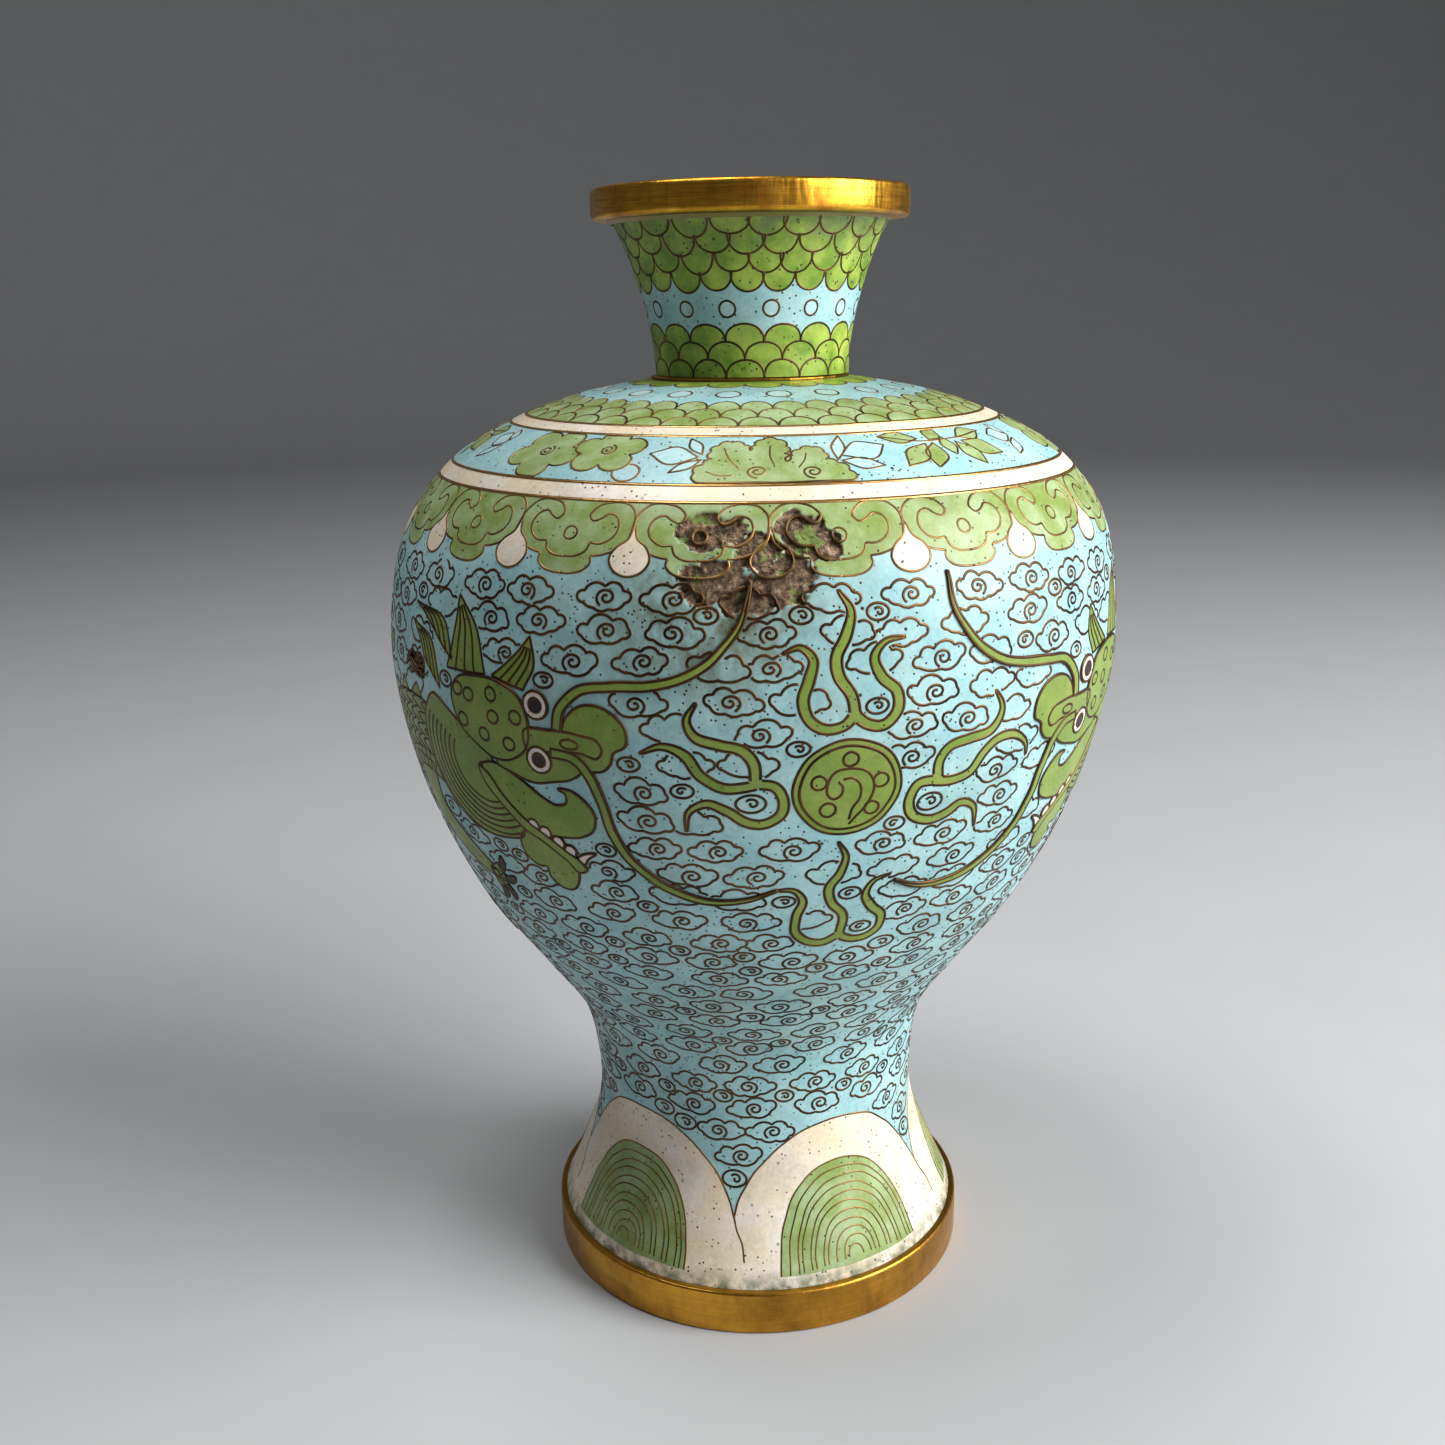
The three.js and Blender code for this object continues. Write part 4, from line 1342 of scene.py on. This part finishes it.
for i in range(FLOWER_GROUPS):
    centre = (i - 1) * FLOWER_PITCH
    plum(centre, -33.6, 169.4, 6.9, 0.4)
    plum(centre, -22.4, 170.6, 6.1, 1.0, 1)
    flower_shape("pale", circle((-17.4, 165.2), 1.9), centre)
    leaves("pale", PEONY_LEFT, centre)
    flower_shape("shoulder_green", lobes(PEONY, [0.34] * (len(PEONY) - 1) + [0.0]), centre, 1)
    for fold in PEONY_FOLDS:
        FLOWER_PEN.wire(moved(curve(fold), (centre, 0)), level=1, width=0.3)
    for eye in ((0.2, 165.6), (7.4, 165.4)):
        FLOWER_PEN.wire(moved(spiral(eye, 1.5, 0.3, 1.6, -90), (centre, 0)), level=1)
    leaves("pale", PEONY_RIGHT, centre)
    leaves("shoulder_green", SPRAY, centre)
    FLOWER_PEN.wire(moved(curve(STEM), (centre, 0)))
    leaves("pale", LAST_LEAVES, centre)


# ---- clouds ----
CLOUDS = [  # notches of the outline, clockwise, and how far each lobe bulges
    ([(-2.9, -1.0), (-2.7, 0.6), (0.1, 1.3), (2.6, 0.8), (2.9, -0.8), (0.9, -1.7), (-1.3, -1.6)],
     [0.66, 0.3, 0.36, 0.62, 0.25, 0.2, 0.14]),
    ([(-3.1, -0.7), (-2.3, 0.8), (1.2, 1.2), (3.2, 0.2), (2.5, -1.1), (-0.3, -1.7)],
     [0.6, 0.36, 0.34, 0.5, 0.16, 0.2]),
    ([(-3.2, -0.9), (-3.0, 0.7), (-0.9, 1.3), (2.2, 1.2), (3.0, -0.6), (-0.2, -1.6)],
     [0.6, 0.4, 0.3, 0.6, 0.22, 0.12]),
]
CURL = len(CLOUDS)                     # the kind that is a single small curl
CLOUD_FOOT, CLOUD_RISE = 19.4, 5.0     # the lowest row, and from row to row
CLOUD_PITCH = 11.4
SQUARE = 0.25                          # pitch of the map of places already taken
CLOUD_STEP = 0.33                      # between the points of a cloud's wires
SHORTEST_RUN = 11                      # points in the shortest piece of a cut cloud that is kept
RUYI_BLOCK = (147.2, 159.0)            # wall behind the ruyi heads, kept free of clouds
SHIFTS = [(0, 0), (-1.2, 0), (1.2, 0), (0, 0.7), (0, -0.7), (-2.4, 0), (2.4, 0)]  # tried in turn
WHOLE_SHARE, CUT_SHARE = 0.03, 0.36    # most of a cloud that may be covered: drawn whole, or cut
CURL_SIZES = (1.2, 0.95, 0.75)
CURL_FOOT, CURL_TOP = 20.0, 146.0


def cloud_lines(kind, flip, grow):
    """Outline and coil of a cloud about its own centre."""
    if kind < len(CLOUDS):
        outline = lobes(*CLOUDS[kind])
        coil = spiral((0.4, -0.15), 1.5, 0.3, 1.5, 240)
        coil[:, 1] *= 0.9
    else:
        outline = circle((0, 0), 2.15, squash=0.76)
        coil = spiral((0.25, -0.05), 1.05, 0.25, 1.05, 150)
    return [moved(line, flip=flip, scale=grow) * (1.1, 1.0) for line in (outline, coil)]


class Map:
    """Which parts of the wall are already taken, as a picture of (angle, s)."""

    def __init__(self, nominal, top):
        self.nominal = nominal
        self.columns = int(TAU * nominal / SQUARE)
        self.rows = int(top / SQUARE)
        self.full = np.zeros((self.rows, self.columns), bool)

    def fill(self, outline):
        """Takes the place of an outline and all that it encloses."""
        low, high = outline.min(0), outline.max(0)
        us = np.arange(low[0], high[0] + SQUARE, SQUARE)
        ss = np.arange(max(low[1], 0), high[1] + SQUARE, SQUARE)
        spots = np.stack(np.meshgrid(us, ss), -1).reshape(-1, 2)
        self.mark(spots[inside(spots, outline)])
        self.mark(outline)

    def cells(self, points):
        """Row and column of each point; the columns run on round the wall."""
        column = np.floor(points[:, 0] / SQUARE).astype(int) % self.columns
        row = np.clip((points[:, 1] / SQUARE).astype(int), 0, self.rows - 1)
        return row, column

    def mark(self, points):
        """Takes the squares that the points lie in."""
        self.full[self.cells(points)] = True

    def grown(self, steps):
        """The taken squares, with a margin of so many squares round them."""
        full = self.full.copy()
        for _ in range(steps):
            wide = full | np.roll(full, 1, 1) | np.roll(full, -1, 1)
            wide[1:] |= full[:-1]
            wide[:-1] |= full[1:]
            full = wide
        return full

    def hidden(self, points, full):
        """Which points lie in the squares that are full."""
        return full[self.cells(points)]


def place_clouds():
    """Rows of clouds over the turquoise, cut where the big design lies over them."""
    rng = random.Random(7)
    ground = Map(FIELD_PEN.nominal, 160.0)
    for outline in taken:
        ground.fill(outline)
    low, high = RUYI_BLOCK
    blocks = RUYI_COUNT * 8
    for i in range(blocks):
        u = TAU * ground.nominal * i / blocks
        ground.fill(np.array([(u, low), (u + 3, low), (u + 3, high), (u, high)]))
    close = ground.grown(2)
    clear = ground.grown(1)
    s, row = CLOUD_FOOT, 0
    while s < RUYI_FOOT:
        radius = BODY.radius(s)
        count = round(TAU * radius / CLOUD_PITCH)
        stretch = ground.nominal / radius
        for i in range(count):
            u = (i + 0.5 * (row % 2) + rng.uniform(-0.07, 0.07)) * TAU * ground.nominal / count
            place_one_cloud(ground, close, clear, u - math.pi * ground.nominal, s, stretch, rng)
        s += CLOUD_RISE
        row += 1
    fill_gaps(ground, rng)


def draw_cloud(ground, kind, u, s, stretch, grow, flip, full, tilt=0.0, cut=False):
    """Lays the wires of one cloud; a cut one stops where another motif has the place."""
    outline, coil = cloud_lines(kind, flip, grow)
    spread = (stretch, 1.0)
    outline = resample(moved(outline, turn=tilt) * spread + (u, s), 0.3, closed=True)
    coil = resample(moved(coil, turn=tilt) * spread + (u, s), 0.3)
    covered = ground.hidden(outline, full)
    if cut and covered.any():
        for run in visible_runs(outline, covered):
            if len(run) > SHORTEST_RUN:
                FIELD_PEN.wire(run, step=CLOUD_STEP)
    else:
        FIELD_PEN.wire(outline, closed=True, step=CLOUD_STEP)
    if not (cut and ground.hidden(coil, full).any()):
        FIELD_PEN.wire(coil, step=CLOUD_STEP)
    ground.fill(outline)


def place_one_cloud(ground, close, clear, u, s, stretch, rng):
    """Draws a cloud of a random kind near a place, if there is room for enough of it."""
    kind = rng.randrange(len(CLOUDS))
    flip = rng.random() < 0.25
    grow = rng.uniform(1.02, 1.14)
    tilt = rng.uniform(-0.09, 0.09)
    outline = cloud_lines(kind, flip, grow)[0] * (stretch, 1.0)
    best = None
    for du, ds in SHIFTS:
        spot = outline + (u + du * stretch, s + ds)
        share = (ground.hidden(spot, close) | ground.hidden(spot, ground.full)).mean()
        if best is None or share < best[0] - 0.02:
            best = (share, du, ds)
        if share == 0:
            break
    share, du, ds = best
    if share < WHOLE_SHARE:
        draw_cloud(ground, kind, u + du * stretch, s + ds, stretch, grow, flip, close, tilt)
    elif share < CUT_SHARE:
        cover = clear | ground.full
        draw_cloud(ground, kind, u + du * stretch, s + ds, stretch, grow, flip, cover, tilt, cut=True)


def fill_gaps(ground, rng):
    """Small single curls in the gaps that are left."""
    full = ground.grown(2)
    for grow in CURL_SIZES:
        for s in np.arange(CURL_FOOT, CURL_TOP, 1.0):
            stretch = ground.nominal / BODY.radius(s)
            for u in np.arange(-math.pi * ground.nominal, math.pi * ground.nominal, 1.1):
                if ground.hidden(np.array([(u, s)]), full)[0]:
                    continue
                outline = circle((0, 0), 2.2 * grow, squash=0.8, steps=16) * (stretch, 1.0) + (u, s)
                if ground.hidden(outline, full).any():
                    continue
                draw_cloud(ground, CURL, u, s, stretch, grow, rng.random() < 0.5, full)
                full = ground.grown(2)


place_clouds()


# ---- build the drawn work ----
CELLS_STAND_FOR = {("foot", "cream"): ["lappet_enamel"]}
for name, pen in [("field", FIELD_PEN), ("ruyi", RUYI_PEN), ("shoulder", SHOULDER_PEN),
                  ("flower", FLOWER_PEN), ("neck", NECK_PEN), ("foot", FOOT_PEN)]:
    pen.wire_pieces(name, GILDED_WIRE if pen.gilded else WIRE)
    pen.cell_pieces(name, COLOURS)


# ---- finish of the CAD parts that are shown as they are ----
CAD_FINISHES = {
    "copper": COPPER, "solder": SOLDER, "lining_enamel": LINING, "gilt": FOOT_GILT,
    "turquoise_enamel": TURQUOISE, "green_enamel": GREEN, "cream_enamel": CREAM,
}
for subpart in frame["record"]["subparts"]:
    shown = frame["nodes"][subpart["node"]]
    shown.data.materials.clear()
    shown.data.materials.append(CAD_FINISHES[subpart["material_slot"]])


# ---- floor, light and camera ----
def add_floor():
    """A plain round floor that sweeps up into a backdrop far off on every side."""
    inner, flat, bend, top, sides = 0.15, 1.6, 1.2, 2.6, 96
    turn = np.linspace(-math.pi / 2, 0, 20)
    radius = np.concatenate([[inner], flat + bend * np.cos(turn), [flat + bend]])
    height = np.concatenate([[0.0], bend + bend * np.sin(turn), [top]])
    theta = np.linspace(0, TAU, sides, endpoint=False)
    points = np.stack([radius[:, None] * np.cos(theta), radius[:, None] * np.sin(theta),
                       np.repeat(height[:, None], sides, 1)], -1).reshape(-1, 3)
    faces = grid_faces(len(radius), sides) + [list(range(sides))]
    floor = linked_piece("floor", points, faces, floor_material(), smooth=len(faces) - 1)


def add_area_light(name, place, target, size, power):
    """A white soft box; place, target and size in metres, power in watts."""
    light = bpy.data.lights.new(name, "AREA")
    light.shape = "RECTANGLE"
    light.size, light.size_y = size
    light.energy = power
    lamp = bpy.data.objects.new(name, light)
    lamp.location = place
    aim = Vector(target) - Vector(place)
    lamp.rotation_euler = aim.to_track_quat("-Z", "Y").to_euler()
    bpy.context.scene.collection.objects.link(lamp)


def add_world(strength):
    """Faint even light from all round."""
    world = bpy.data.worlds.new("studio")
    world.use_nodes = True
    world.node_tree.nodes["Background"].inputs["Color"].default_value = (0.93, 0.96, 1.0, 1)
    world.node_tree.nodes["Background"].inputs["Strength"].default_value = strength
    bpy.context.scene.world = world


def add_camera():
    """In front of the vase and above its rim, looking down a little."""
    back, up_high = 1.3713, 0.9088     # over the height of the vase
    pitch, yaw, roll = 0.2743, -0.021, -0.0147
    ahead = Vector((math.sin(yaw), math.cos(yaw), 0))
    right = Vector((math.cos(yaw), -math.sin(yaw), 0))
    up = Vector((0, 0, 1))
    look = ahead * math.cos(pitch) - up * math.sin(pitch)
    top = ahead * math.sin(pitch) + up * math.cos(pitch)
    camera_right = right * math.cos(roll) + top * math.sin(roll)
    camera_up = top * math.cos(roll) - right * math.sin(roll)
    data = bpy.data.cameras.new("camera")
    data.lens, data.sensor_width = 37.51, 36.0
    data.clip_start = 0.01
    camera = bpy.data.objects.new("camera", data)
    turn = Matrix((camera_right, camera_up, -look)).transposed()
    place = Vector((0.0, -back * HEIGHT, up_high * HEIGHT)) * MM
    camera.matrix_world = Matrix.Translation(place) @ turn.to_4x4()
    bpy.context.scene.collection.objects.link(camera)
    bpy.context.scene.camera = camera


add_floor()
add_world(0.07)
add_area_light("key", (0.90, -0.315, 0.59), (0.0, 0.0, 0.11), (0.75, 0.84), 24.5)
add_area_light("overhead", (-0.20, -0.02, 0.88), (0.0, 0.0, 0.15), (0.36, 0.36), 3.8)
add_camera()
bpy.context.scene.view_settings.view_transform = "Standard"
